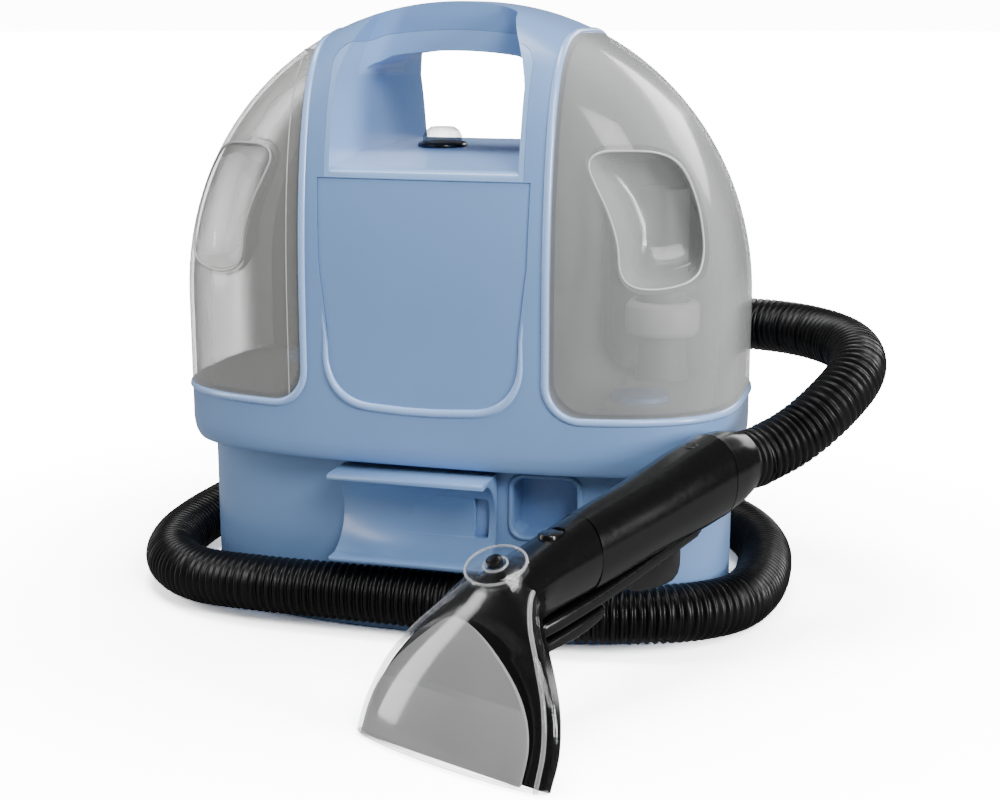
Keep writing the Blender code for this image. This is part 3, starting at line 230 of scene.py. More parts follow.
def moulded(name, colour, roughness, grain=900.0, bump=0.06, mottle=0.05, coat=0.0, cloud=14.0, shine=0.5):
    """A moulded polymer: fine spark-eroded grain, a faint drift in tone and uneven polish."""
    finish = bpy.data.materials.new(name)
    finish.use_nodes = True
    tree = finish.node_tree
    where = add(tree, "ShaderNodeTexCoord")["Object"]
    drift = add(tree, "ShaderNodeTexNoise", {"Scale": cloud, "Detail": 3.0, "Vector": where})["Fac"]
    tone = tree.nodes.new("ShaderNodeValToRGB")
    for end, place, share in zip(tone.color_ramp.elements, (0.3, 0.7), (1.0 - mottle, 1.0 + mottle)):
        end.position = place
        end.color = (*[min(c * share, 1.0) for c in colour], 1.0)
    join(tree, tone, {"Fac": drift})
    fine = add(tree, "ShaderNodeTexNoise", {"Scale": grain, "Detail": 2.0, "Vector": where})["Fac"]
    polish = add(tree, "ShaderNodeMapRange", {"Value": fine, "To Min": max(roughness - 0.05, 0.02),
                                              "To Max": roughness + 0.06})
    relief = add(tree, "ShaderNodeBump", {"Strength": bump, "Distance": 0.0004, "Height": fine})
    join(tree, tree.nodes["Principled BSDF"], {
        "Base Color": tone.outputs["Color"], "Roughness": polish["Result"], "Normal": relief["Normal"],
        "Coat Weight": coat, "Coat Roughness": 0.12, "Specular IOR Level": shine})
    return finish


def fit(obj, body, finish, slot, *stands_for):
    """Paints a finished piece and fixes it to its body in place of the plain solids."""
    obj.data.materials.clear()
    obj.data.materials.append(finish)
    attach(obj, body)
    if stands_for:
        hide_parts(*stands_for)
    return obj


hose_vinyl = moulded("hose_vinyl", (0.0016, 0.0016, 0.0018), 0.34, grain=300.0, bump=0.01, mottle=0.25,
                     shine=0.26)
hose = grow(plain_line("corrugated_hose", hose_line), corrugated_tree(), {**HOSE_SIZES, "Finish": hose_vinyl})
fit(hose, "machine", hose_vinyl, "dark_rubber", "suction_hose")

# ---------------------------------------------------------------- base cover and feet
# Moulded cover that closes the underside, with a rolled edge that just shows below the tub, and
# four round rubber feet pressed into its pockets.
BODY_WIDTH = 0.33
BODY_DEPTH = 0.181
BODY_HEIGHT = 0.352
CORNER_POWER = 3.4
BASE_POWER = 2.8
BASE_HALF = BODY_WIDTH / 2 - 0.007
PLATE_DEPTH = 0.178
PLATE_THICKNESS = 0.005
TUB_DEPTH = 0.148
FIT_GAP = 0.0003
FINE = 192


def superellipse(half_x, half_y, power=CORNER_POWER, count=FINE):
    """Points of one ring, evenly spaced along its outline, starting at +X."""
    turn = np.linspace(0.0, 2.0 * math.pi, 1441)
    x = half_x * np.sign(np.cos(turn)) * np.abs(np.cos(turn)) ** (2.0 / power)
    y = half_y * np.sign(np.sin(turn)) * np.abs(np.sin(turn)) ** (2.0 / power)
    walked = np.concatenate([[0.0], np.cumsum(np.hypot(np.diff(x), np.diff(y)))])
    wanted = np.linspace(0.0, walked[-1], count + 1)[:-1]
    return list(zip(np.interp(wanted, walked, x), np.interp(wanted, walked, y)))


def smooth_over(obj, angle=38):
    """Shades a piece smooth, but for edges sharper than this."""
    obj.data.shade_smooth()
    obj.data.set_sharp_from_angle(angle=math.radians(angle))
    return obj


def as_piece(name, made, sharp=38):
    bmesh.ops.remove_doubles(made, verts=made.verts, dist=1e-6)
    bmesh.ops.recalc_face_normals(made, faces=made.faces)
    mesh = bpy.data.meshes.new(name)
    made.to_mesh(mesh)
    made.free()
    return smooth_over(placed(name, mesh), sharp)


def loft(name, rings, tip=None):
    """Closed solid through rings of points, with a flat end or a pointed one."""
    made = bmesh.new()
    rows = [[made.verts.new(point) for point in ring] for ring in rings]
    count = len(rows[0])
    for low, high in zip(rows, rows[1:]):
        for i in range(count):
            j = (i + 1) % count
            made.faces.new((low[i], low[j], high[j], high[i]))
    made.faces.new(list(reversed(rows[0])))
    if tip:
        top = made.verts.new(tip)
        for i in range(count):
            made.faces.new((rows[-1][i], rows[-1][(i + 1) % count], top))
    else:
        made.faces.new(rows[-1])
    return as_piece(name, made)


def rolled(levels, half_x, half_y, power):
    """Rings of a slab with rolled edges, from (height, set-in) pairs."""
    return [[(x, y, z) for x, y in superellipse(half_x - inset, half_y - inset, power)] for z, inset in levels]


def applied(obj):
    """Keeps what an object's modifiers make of it as its plain mesh."""
    mesh, old = as_mesh(obj), obj.data
    obj.modifiers.clear()
    obj.data = mesh
    bpy.data.meshes.remove(old)
    return obj


def carve(obj, tool, operation="DIFFERENCE", keep=False):
    """Cuts one solid with another and keeps the plain result."""
    modifier = obj.modifiers.new("carve", "BOOLEAN")
    modifier.operation = operation
    modifier.solver = "MANIFOLD"
    modifier.object = tool
    applied(obj)
    if not keep:
        bpy.data.objects.remove(tool)
    return obj


def rounded(obj, width, segments=2, angle=38):
    """Breaks the sharp edges of a piece, as the mould does."""
    bevel = obj.modifiers.new("edges", "BEVEL")
    bevel.width = width
    bevel.segments = segments
    bevel.limit_method = "ANGLE"
    bevel.angle_limit = math.radians(angle)
    bevel.harden_normals = True
    return applied(obj)


def refined(node, name, width=0.0005):
    """The solid's own shape with its facets smoothed and its edges broken."""
    made = bmesh.new()
    made.from_mesh(nodes[node].data)
    bmesh.ops.remove_doubles(made, verts=made.verts, dist=1e-6)
    bmesh.ops.dissolve_limit(made, angle_limit=math.radians(1.0), verts=made.verts, edges=made.edges)
    return smooth_over(rounded(as_piece(name, made, 32), width, angle=32), 32)


def blue_part(obj, *stands_for):
    """Fixes a piece in the shell colour to the machine."""
    fit(obj, "machine", blue_shell, "blue_plastic", *stands_for)


blue_shell = moulded("blue_shell", (0.17, 0.3, 0.56), 0.34, mottle=0.025, coat=0.15)
plate_levels = [(0.0, 0.0016), (0.0006, 0.0006), (0.0016, 0.0), (PLATE_THICKNESS - 0.0014, 0.0),
                (PLATE_THICKNESS - 0.0004, 0.0005), (PLATE_THICKNESS, 0.0015)]
plate = loft("base_cover", rolled(plate_levels, BASE_HALF, PLATE_DEPTH / 2, BASE_POWER))
blue_part(plate, "base_plate")
foot_rubber = moulded("foot_rubber", (0.03, 0.03, 0.032), 0.75, grain=400.0, bump=0.2, mottle=0.2)
for word in ("front_left", "front_right", "rear_left", "rear_right"):
    fit(refined(f"foot_{word}", f"rubber_foot_{word}"), "machine", foot_rubber, "dark_rubber", f"foot_{word}")

# ---------------------------------------------------------------- tub
# Deep moulded tub that carries the pump and ducts. It stands on the base cover, and the dome's skirt
# reaches out over its upper edge. A stain tool is kept in the pocket at its front.
SKIRT_BOTTOM = 0.0965
TUB_WALL = 0.003
TUB_FRONT = TUB_DEPTH / 2
TUB_LOW = PLATE_THICKNESS + FIT_GAP
TUB_HIGH = SKIRT_BOTTOM - FIT_GAP
SOCKET_PLACE = (-0.045, 0.0, 0.05)
SOCKET_RADIUS = 0.0153
LEAD_PLACE = (-0.1, 0.0, 0.07)
LEAD_RADIUS = 0.0058
GRILLE_LEFT, GRILLE_RIGHT, GRILLE_LOW, GRILLE_TOP = 0.03, 0.1, 0.025, 0.075
POCKET_LEFT, POCKET_RIGHT, POCKET_LOW, POCKET_TOP, POCKET_CORNER = 0.0475, 0.0845, 0.058, 0.0925, 0.0065
POCKET_BACK = 0.0524


def prism(name, outline, y_front, y_back):
    """An outline in X and Z, pushed from y_front to y_back."""
    return loft(name, [[(x, y, z) for x, z in outline] for y in (y_front, y_back)])


def arc(cx, cy, radius, start, end, steps):
    turns = [math.radians(start + (end - start) * i / steps) for i in range(steps + 1)]
    return [(cx + radius * math.cos(a), cy + radius * math.sin(a)) for a in turns]


def round_box(x0, x1, z0, z1, radius, steps=8):
    """Rounded rectangle in X and Z."""
    found = []
    for cx, cz, start in ((x1 - radius, z1 - radius, 0), (x0 + radius, z1 - radius, 90),
                          (x0 + radius, z0 + radius, 180), (x1 - radius, z0 + radius, 270)):
        found += arc(cx, cz, radius, start, start + 90, steps)
    return found


def block(name, low, high):
    outline = [(low[0], low[2]), (high[0], low[2]), (high[0], high[2]), (low[0], high[2])]
    return prism(name, outline, low[1], high[1])


def rod(name, radius, low, high, centre, axis="Y", count=48):
    """Straight round bar, used to cut holes."""
    rings = []
    for height in (low, high):
        ring = []
        for i in range(count):
            a, b = radius * math.cos(2 * math.pi * i / count), radius * math.sin(2 * math.pi * i / count)
            place = {"Y": (a, height, b), "Z": (a, b, height)}[axis]
            ring.append(tuple(Vector(place) + Vector(centre)))
        rings.append(ring)
    return loft(name, rings)


def tub_slab(name, levels, inset=0.0):
    return loft(name, rolled(levels, BASE_HALF - inset, TUB_FRONT - inset, BASE_POWER))


def pocket(grow_by=0.0, corner=POCKET_CORNER):
    """Outline of the tool pocket's mouth, grown by this much all round."""
    return round_box(POCKET_LEFT - grow_by, POCKET_RIGHT + grow_by, POCKET_LOW - grow_by, POCKET_TOP + grow_by,
                     corner + grow_by)


tub = tub_slab("tub", [(TUB_LOW, 0.0012), (TUB_LOW + 0.0012, 0.0), (TUB_HIGH, 0.0)])
carve(tub, tub_slab("tub_room", [(TUB_LOW + TUB_WALL, 0.0), (TUB_HIGH + 0.01, 0.0)], TUB_WALL))
carve(tub, prism("pocket_mouth", pocket(), -TUB_FRONT - 0.01, -TUB_FRONT + 0.0105))
back_wall = (TUB_FRONT - 0.02, TUB_FRONT + 0.02)
carve(tub, rod("socket_hole", SOCKET_RADIUS, *back_wall, SOCKET_PLACE))
carve(tub, block("grille_hole", (GRILLE_LEFT, back_wall[0], GRILLE_LOW),
                 (GRILLE_RIGHT, back_wall[1], GRILLE_TOP)))
carve(tub, rod("lead_hole", LEAD_RADIUS, *back_wall, LEAD_PLACE))
blue_part(smooth_over(tub), "base_tub")
tool_pocket = prism("tool_pocket", pocket(0.0013), -TUB_FRONT + 0.0035, -POCKET_BACK)
carve(tool_pocket, prism("pocket_room", pocket(-0.0003), -TUB_FRONT, -POCKET_BACK - 0.0016))
blue_part(rounded(tool_pocket, 0.001), "storage_recess")


def bead(name, points, radius, closed=True, swell=None):
    """Round lip of moulded plastic that follows an edge, thicker where swell says so."""
    line = plain_line(name, points, closed)
    if swell:
        for spot in line.data.splines[0].points:
            spot.radius = swell(spot.co)
    line.data.bevel_depth = radius
    line.data.bevel_resolution = 2
    line.data.use_fill_caps = not closed
    piece = settled(line)
    piece.data.shade_smooth()
    return piece


def ring_y(x, half_x, half_y, power):
    """How far out a superellipse ring lies at this x."""
    return half_y * max(1.0 - min(abs(x) / half_x, 1.0) ** power, 0.0) ** (1.0 / power)


pocket_lip = [(x, -ring_y(x, BASE_HALF, TUB_FRONT, BASE_POWER) - 0.0001, z) for x, z in pocket(0.0009, 0.0066)]
blue_part(bead("pocket_lip", pocket_lip, 0.0015))

# ---------------------------------------------------------------- hose clip
# Open moulded channel that the hose or the wand snaps into, fixed to the front of the tub. It has
# flared lips above and below, and a window for the latch finger near one end.
CLIP_LEFT, CLIP_RIGHT, CLIP_FRONT = -0.052, 0.039, 0.103
CLIP_Z, CLIP_RADIUS, CLIP_WALL = 0.0685, 0.0232, 0.0026
LIP = [(0.002, 0.0), (0.0006, 0.0005), (0.0, 0.0015), (0.0, 0.003)]
clip_back = TUB_FRONT + FIT_GAP
clip_y = -(clip_back + CLIP_WALL + CLIP_RADIUS)
clip_top = CLIP_Z + CLIP_RADIUS + CLIP_WALL - 0.0002
clip_low = CLIP_Z - CLIP_RADIUS - CLIP_WALL + 0.0002
outline = [(-clip_back, clip_low)] + [(-CLIP_FRONT + y, clip_low + z) for y, z in LIP]
outline += [(clip_y + CLIP_RADIUS * math.cos(a), CLIP_Z + CLIP_RADIUS * math.sin(a))
            for a in np.radians(np.linspace(-76, 76, 41))]
outline += [(-CLIP_FRONT + y, clip_top - z) for y, z in reversed(LIP)] + [(-clip_back, clip_top)]
clip = loft("hose_clip_channel", [[(x, y, z) for y, z in outline] for x in (CLIP_LEFT, CLIP_RIGHT)])
latch_window = round_box(0.0268, 0.0352, 0.057, 0.08, 0.001, 4)
carve(clip, prism("latch_window", latch_window, -CLIP_FRONT - 0.01, -clip_back + 0.01))
blue_part(smooth_over(rounded(clip, 0.0006, angle=50)), "hose_clip")

# ---------------------------------------------------------------- rear fittings
# Hose socket, exhaust grille and lead bushing in black polypropylene, let into the back of the tub,
# and three wrap hooks moulded in the shell colour.
def black_part(obj, *stands_for):
    """Fixes a piece in the black of the fittings and the wand to the machine."""
    fit(obj, "machine", black_shell, "black_plastic", *stands_for)


black_shell = moulded("black_shell", (0.0018, 0.0018, 0.002), 0.2, grain=300.0, bump=0.006, mottle=0.2,
                      shine=0.38)
for node, name in (("hose_socket", "hose_spigot"), ("exhaust_grille", "exhaust_louvre"),
                   ("cord_bushing", "lead_bushing")):
    black_part(refined(node, name), node)
for word in ("lower_left", "lower_right", "upper"):
    blue_part(refined(f"hook_{word}", f"wrap_hook_{word}"), f"hook_{word}")

# ---------------------------------------------------------------- dome shells
# Two satin blue shells that meet across the middle. Each is a slice of one soft dome, with a bay
# cut in each side for a tank, an opening for the carrying arch, and a seat for the front panel.
DOME_START = 0.183
TANK_FLOOR = 0.131
COLUMN_HALF = 0.0715
TANK_REAR = 0.058
BAY_CORNER = 0.02
SHELL_WALL = 0.003
WINDOW_HALF = 0.054
LINER_WALL = 0.003
HANDLE_SEAM = 0.336
LINER_BOTTOM = 0.2578
HANDLE_DEPTH = 0.052
ARCH_RISE = 0.006
ARCH_CORNER = 0.012
CAP_X, CAP_Y, DRAIN_Y = 0.112, 0.024, -0.036
CAP_SEAT_RADIUS = 0.022
deep = BODY_DEPTH


def climb(z, inset):
    """How far up the dome this height is, from 0 where it starts to 1 at its crown."""
    return min(max(z - DOME_START, 0.0) / (BODY_HEIGHT - DOME_START - inset), 1.0)


def half_width(z, inset=0.0):
    return (BODY_WIDTH / 2 - inset) * math.sqrt(1.0 - climb(z, inset) ** 2)


def half_depth(z, inset=0.0):
    return (BODY_DEPTH / 2 - inset) * (1.0 - climb(z, inset) ** 2.2) ** 0.25


def dome_front(x, z, inset=0.0):
    """How far in front of the middle the dome's surface lies at this x and z."""
    return ring_y(x, max(half_width(z, inset), 1e-6), half_depth(z, inset), CORNER_POWER)


def dome(name, inset=0.0, bottom=SKIRT_BOTTOM, top=None, softened=False):
    levels = [(bottom + 0.014 * (1.0 - math.cos(math.radians(a))), 0.0058 * (1.0 - math.sin(math.radians(a))))
              for a in range(0, 91, 10)] if softened else [(bottom, 0.0)]
    levels += [(z, 0.0) for z in (0.12, TANK_FLOOR, 0.145, 0.16, 0.172) if z > levels[-1][0]]
    rise = BODY_HEIGHT - DOME_START - inset
    for degrees in list(np.arange(0, 72, 3.0)) + list(np.arange(72, 89.6, 1.5)):
        z = DOME_START + rise * math.sin(math.radians(degrees))
        if top is None or z < top - 0.002:
            levels.append((z, 0.0))
    if top is not None:
        levels.append((top, 0.0))
    rings = [[(x, y, z) for x, y in superellipse(half_width(z, inset) - pull, half_depth(z, inset) - pull)]
             for z, pull in levels]
    return loft(name, rings, None if top is not None else (0.0, 0.0, BODY_HEIGHT - inset))


def bay(side, grow_by=0.0, gap=0.0):
    """Outline of the space that one tank stands in."""
    inner, floor, outer = COLUMN_HALF - grow_by + gap, TANK_FLOOR - grow_by + gap, BODY_WIDTH / 2 + 0.02
    corner = arc(inner + BAY_CORNER, floor + BAY_CORNER, BAY_CORNER, 180, 270, 16)
    shape = [(inner, BODY_HEIGHT + 0.02)] + corner + [(outer, floor), (outer, BODY_HEIGHT + 0.02)]
    return [(side * x, z) for x, z in shape]


def arch(half, top, bottom):
    """Outline of the hand opening: flat below, rounded upper corners under a shallow crown."""
    right = arc(half - ARCH_CORNER, top - ARCH_RISE - ARCH_CORNER, ARCH_CORNER, 0, 80, 12)
    points = [(-half, bottom), (half, bottom)] + right
    for i in range(1, 18):
        x = (half - ARCH_CORNER) * (1.0 - 2.0 * i / 18)
        points.append((x, top - ARCH_RISE * (x / half) ** 2))
    return points + [(-x, z) for x, z in reversed(right)]


def liner_shape(gap=0.0):
    return arch(WINDOW_HALF + LINER_WALL + gap, HANDLE_SEAM + gap, LINER_BOTTOM - gap)


PANEL_TOP, PANEL_LOW = LINER_BOTTOM - 0.0006, 0.1325
PANEL_HALF_TOP, PANEL_HALF_FOOT, PANEL_CORNER = 0.0605, 0.055, 0.031
PANEL_THICKNESS, PANEL_SINK = 0.0028, 0.0006


def panel_shape(gap=0.0):
    """Outline of the front panel, drawn in by the gap."""
    half_top, half_foot, low = PANEL_HALF_TOP - gap, PANEL_HALF_FOOT - gap, PANEL_LOW + gap
    top = PANEL_TOP - gap
    right = [(half_top, top), (half_top - 0.001, top - 0.045), (half_foot, low + PANEL_CORNER + 0.01)]
    right += [(half_foot - PANEL_CORNER * (1.0 - math.cos(math.radians(a)) ** 0.85),
               low + PANEL_CORNER * (1.0 - math.sin(math.radians(a)) ** 0.85)) for a in range(6, 85, 6)]
    right += [(x, low - 0.0012 * (1.0 - (x / (half_foot - PANEL_CORNER)) ** 2)) for x in (0.018, 0.009)]
    return right + [(-x, z) for x, z in reversed(right)]


KNUCKLE = 0.013
RELIEF_SIDE = [(WINDOW_HALF - narrower, z) for narrower, z in (
    (0.0, 0.29), (0.0, 0.304), (0.0008, 0.312), (0.003, 0.321), (0.0064, 0.33), (0.0106, 0.339),
    (0.016, 0.349), (0.022, 0.362))]


def outer_at(z):
    """Half the relief's width at this height."""
    return float(np.interp(z, [row[1] for row in RELIEF_SIDE], [row[0] for row in RELIEF_SIDE]))


def relief(end):
    """What is taken away in front of the grip, or behind it, so that it stands back between the posts."""
    outline = RELIEF_SIDE + [(-x, z) for x, z in reversed(RELIEF_SIDE)]
    room = prism("grip_relief", outline, *sorted((end * HANDLE_DEPTH / 2, end * deep)))
    for turn in (-1, 1):
        fillet = [(turn * (WINDOW_HALF + 0.001), end * (HANDLE_DEPTH / 2 - 0.001))]
        for degrees in range(0, 91, 9):
            bend = math.radians(degrees)
            fillet.append((turn * (WINDOW_HALF - KNUCKLE * (1.0 - math.sin(bend))),
                           end * (HANDLE_DEPTH / 2 + KNUCKLE * (1.0 - math.cos(bend)))))
        rings = [[(x - turn * max(WINDOW_HALF - outer_at(z), 0.0), y, z) for x, y in fillet]
                 for z in np.linspace(0.288, 0.364, 16)]
        carve(room, loft("knuckle", rings))
    return room


hollow = dome("shell_room", SHELL_WALL, SKIRT_BOTTOM - 0.01, LINER_BOTTOM + 0.01)
for side in (-1, 1):
    carve(hollow, prism("bay_wall", bay(side, SHELL_WALL), -deep, TANK_REAR + FIT_GAP + SHELL_WALL))
seats = [(-CAP_X, CAP_Y, "rear"), (CAP_X, CAP_Y, "rear"), (CAP_X, DRAIN_Y, "front")]
shells = {}
for word, low, high in (("front", -deep, -FIT_GAP / 2), ("rear", FIT_GAP / 2, deep)):
    shell = dome(f"{word}_shell", softened=True)
    for side in (-1, 1):
        carve(shell, prism("bay_cut", bay(side), -deep, TANK_REAR + FIT_GAP))
    carve(shell, hollow, keep=True)
    carve(shell, prism("liner_cut", liner_shape(0.0001), -deep, deep))
    for end in (-1, 1):
        carve(shell, relief(end))
    half = block("half_keep", (-BODY_WIDTH, low, 0.0), (BODY_WIDTH, high, BODY_HEIGHT + 0.05))
    carve(shell, half, "INTERSECT")
    for x, y, where in seats:
        if where == word:
            hole = rod("cap_seat", CAP_SEAT_RADIUS, SKIRT_BOTTOM - 0.01, TANK_FLOOR + 0.02, (x, y, 0.0), "Z")
            carve(shell, hole)
    shells[word] = shell
bpy.data.objects.remove(hollow)
panel_seat = prism("panel_seat", panel_shape(-FIT_GAP), -deep, 0.0)
carve(panel_seat, dome("seat_floor", PANEL_THICKNESS + PANEL_SINK + FIT_GAP, SKIRT_BOTTOM - 0.02))
carve(shells["front"], panel_seat)
for word, shell in shells.items():
    blue_part(smooth_over(shell, 32), f"{word}_body")


def bay_edge(side, out, sink):
    """Closed line round the mouth of one tank bay, set back from it by out and below the surface by sink."""
    inner, floor, rear = COLUMN_HALF - out, TANK_FLOOR - out, TANK_REAR + FIT_GAP + out
    top = BODY_HEIGHT - sink
    crown = DOME_START + (top - DOME_START) * math.sqrt(1.0 - (inner / (BODY_WIDTH / 2 - sink)) ** 2) - 0.0005
    line = [(inner, -dome_front(inner, z, sink), z) for z in np.linspace(crown, floor + BAY_CORNER, 50)]
    for x, z in arc(inner + BAY_CORNER, floor + BAY_CORNER, BAY_CORNER, 180, 270, 16)[1:]:
        line.append((x, -dome_front(x, z, sink), z))
    ring = superellipse(half_width(floor, sink), half_depth(floor, sink), CORNER_POWER, 720)
    line += [(x, y, floor) for x, y in ring[540:] + ring[:180] if x > inner + BAY_CORNER + 0.001 and y < rear]
    z = floor + 0.004
    while half_depth(z, sink) > rear:
        x = ring_y(rear, half_depth(z, sink), half_width(z, sink), CORNER_POWER)
        if x <= inner:
            break
        line.append((x, rear, z))
        z += 0.004
    for y in np.linspace(rear, -dome_front(inner, crown, sink), 14)[1:-1]:
        low_z, high_z = DOME_START, top
        for _ in range(30):
            middle = 0.5 * (low_z + high_z)
            if dome_front(inner, middle, sink) > abs(y):
                low_z = middle
            else:
                high_z = middle
        line.append((inner, y, low_z))
    return [(side * x, y, z) for x, y, z in line]


# The lips round the tank bays are painted a paler blue than the shell: a painted highlight where light catches
# these edges.
highlight_rim_blue = moulded("highlight_rim_blue", (0.3, 0.47, 0.8), 0.28, mottle=0.02, coat=0.4)
for side, word in ((-1, "left"), (1, "right")):
    fit(bead(f"bay_rim_{word}", bay_edge(side, 0.0016, 0.001), 0.0025), "machine", highlight_rim_blue, "blue_plastic")

# ---------------------------------------------------------------- front panel
# Plain snap-in cover on the front of the column. A rolled lip runs down both its sides and round
# its foot, where it is thicker.
panel = prism("column_panel", panel_shape(), -deep, 0.0)
carve(panel, dome("panel_face", PANEL_SINK, SKIRT_BOTTOM - 0.02), "INTERSECT")
carve(panel, dome("panel_back", PANEL_THICKNESS + PANEL_SINK, SKIRT_BOTTOM - 0.03))
blue_part(smooth_over(panel), "front_panel")
edge = [Vector((x, z, 0.0)) for x, z in panel_shape(-0.0016)]
lip = []
for a, b in zip(edge, edge[1:]):
    for t in np.linspace(0.0, 1.0, max(int((b - a).length / 0.003), 1), endpoint=False):
        spot = a.lerp(b, t)
        lip.append((spot.x, -dome_front(spot.x, spot.y, 0.001), spot.y))
# The panel's lip uses the same paler blue, a painted highlight along its sides and foot.
fit(bead("panel_lip", lip, 0.0011, closed=False,
         swell=lambda spot: 0.9 + 1.5 * max(min((0.185 - spot[2]) / 0.05, 1.0), 0.0)),
    "machine", highlight_rim_blue, "blue_plastic")

# ---------------------------------------------------------------- carrying arch and deck
# One liner moulding wraps the hand opening: the deck with the power button below, two posts, and
# the underside of the grip. It is trapped between the two shells.
WINDOW_TOP, DECK_HEIGHT, DECK_THICKNESS = 0.3245, 0.268, 0.0026
DECK_FRONT, DECK_SLOPE_START, DECK_ROLL = 0.2631, -0.028, 0.0072
BUTTON_X, BUTTON_Y, BUTTON_RADIUS, BUTTON_PROUD, BEZEL_RADIUS = -0.02, 0.012, 0.0118, 0.0115, 0.0148
liner = prism("arch_liner", liner_shape(), -deep, deep)
carve(liner, dome("liner_skin", 0.0002, LINER_BOTTOM - 0.02), "INTERSECT")
carve(liner, prism("hand_opening", arch(WINDOW_HALF, WINDOW_TOP, DECK_HEIGHT), -deep, deep))
roll_y = -half_depth(0.26) + 0.0002 + DECK_ROLL
slope = [(DECK_SLOPE_START, DECK_HEIGHT)]
for t in np.linspace(0.1, 1.0, 10):
    y = DECK_SLOPE_START + (roll_y - DECK_SLOPE_START) * t
    slope.append((y, DECK_HEIGHT + (DECK_FRONT - DECK_HEIGHT) * t * t * (3 - 2 * t)))
for degrees in range(10, 91, 10):
    turn = math.radians(degrees)
    slope.append((roll_y - DECK_ROLL * math.sin(turn), DECK_FRONT - 0.0048 * (1.0 - math.cos(turn))))
slope += [(-deep, slope[-1][1]), (-deep, DECK_HEIGHT + 0.01), (DECK_SLOPE_START, DECK_HEIGHT + 0.01)]
fall_half = WINDOW_HALF - 0.0001
carve(liner, loft("deck_fall", [[(x, y, z) for y, z in slope] for x in (-fall_half, fall_half)]))
carve(liner, block("switch_room", (-WINDOW_HALF + 0.002, -0.02, LINER_BOTTOM - 0.01),
                   (WINDOW_HALF - 0.002, 0.072, DECK_HEIGHT - DECK_THICKNESS)))
for end in (-1, 1):
    carve(liner, relief(end))
carve(liner, rod("button_hole", BUTTON_RADIUS + 0.0021, LINER_BOTTOM - 0.01, DECK_HEIGHT + 0.01,
                 (BUTTON_X, BUTTON_Y, 0.0), "Z"))
# The liner is painted a paler blue than the shell: painted light on the insides of the posts and on the deck.
liner_painted_light_blue = moulded("liner_painted_light_blue", (0.25, 0.41, 0.7), 0.3, mottle=0.025, coat=0.2)
fit(smooth_over(liner, 32), "machine", liner_painted_light_blue, "blue_plastic", "handle_liner")

# ---------------------------------------------------------------- power button
# Press button with a clear faceted cap on a coil spring, in a black bezel let into the deck.

def clear_cast(name, colour, thin, thick, roughness, coat=0.6, bump=0.03, grain=60.0, mottle=0.06,
               frosted_behind=0.0):
    """Thin clear or smoked plastic: see-through face on, more solid where it is seen edge on."""
    finish = moulded(name, colour, roughness, grain=grain, bump=bump, mottle=mottle, coat=coat, cloud=9.0)
    tree = finish.node_tree
    rim = add(tree, "ShaderNodeLayerWeight", {"Blend": 0.35})["Facing"]
    solid = add(tree, "ShaderNodeMapRange", {"Value": rim, "To Min": thin, "To Max": thick})["Result"]
    if frosted_behind:
        where = add(tree, "ShaderNodeTexCoord")["Object"]
        y = add(tree, "ShaderNodeSeparateXYZ", {"Vector": where})["Y"]
        behind = add(tree, "ShaderNodeMapRange", {"Value": y, "From Max": 0.045, "To Max": frosted_behind})
        solid = add(tree, "ShaderNodeMath", {0: solid, 1: behind["Result"]}, operation="MAXIMUM")["Value"]
    join(tree, tree.nodes["Principled BSDF"], {"Alpha": solid})
    return finish


def turned(name, profile, centre, count=64):
    """Round piece spun from a closed half section of (radius, height) points."""
    made = bmesh.new()
    rows = []
    for radius, height in profile:
        rows.append([made.verts.new((centre[0] + radius * math.cos(2 * math.pi * i / count),
                                     centre[1] + radius * math.sin(2 * math.pi * i / count), height))
                     for i in range(count if radius > 1e-7 else 1)])
    for low, high in zip(rows, rows[1:] + rows[:1]):
        for i in range(count):
            j = (i + 1) % count
            corners = [low[i % len(low)], low[j % len(low)], high[j % len(high)], high[i % len(high)]]
            corners = list(dict.fromkeys(corners))
            if len(corners) > 2:
                made.faces.new(corners)
    return as_piece(name, made)


place = (BUTTON_X, BUTTON_Y)
sleeve = BUTTON_RADIUS + 0.0004
sleeve_low = DECK_HEIGHT - DECK_THICKNESS - 0.002
bezel = turned("button_bezel", [
    (sleeve, sleeve_low), (sleeve + 0.0014, sleeve_low), (sleeve + 0.0014, DECK_HEIGHT + FIT_GAP),
    (BEZEL_RADIUS, DECK_HEIGHT + FIT_GAP), (BEZEL_RADIUS, DECK_HEIGHT + 0.0012),
    (BEZEL_RADIUS - 0.0004, DECK_HEIGHT + 0.0021), (BEZEL_RADIUS - 0.0014, DECK_HEIGHT + 0.0028),
    (sleeve, DECK_HEIGHT + 0.0028)], place)
black_part(bezel, "power_bezel")
button_top, button_low = DECK_HEIGHT + BUTTON_PROUD, DECK_HEIGHT - 0.004
button = turned("button_cap", [
    (0.0, button_low), (BUTTON_RADIUS, button_low), (BUTTON_RADIUS, DECK_HEIGHT + 0.006),
    (BUTTON_RADIUS - 0.0016, button_top - 0.0022), (BUTTON_RADIUS - 0.0046, button_top),
    (0.0, button_top)], place, 12)
button_cast = clear_cast("button_cast", (0.16, 0.155, 0.14), 0.5, 0.95, 0.05, coat=1.0)
fit(smooth_over(button, 10), "power_button", button_cast, "smoke_clear", "power_button")
spring_steel = moulded("spring_steel", (0.55, 0.56, 0.58), 0.28, grain=500.0, mottle=0.08)
spring_steel.node_tree.nodes["Principled BSDF"].inputs["Metallic"].default_value = 1.0

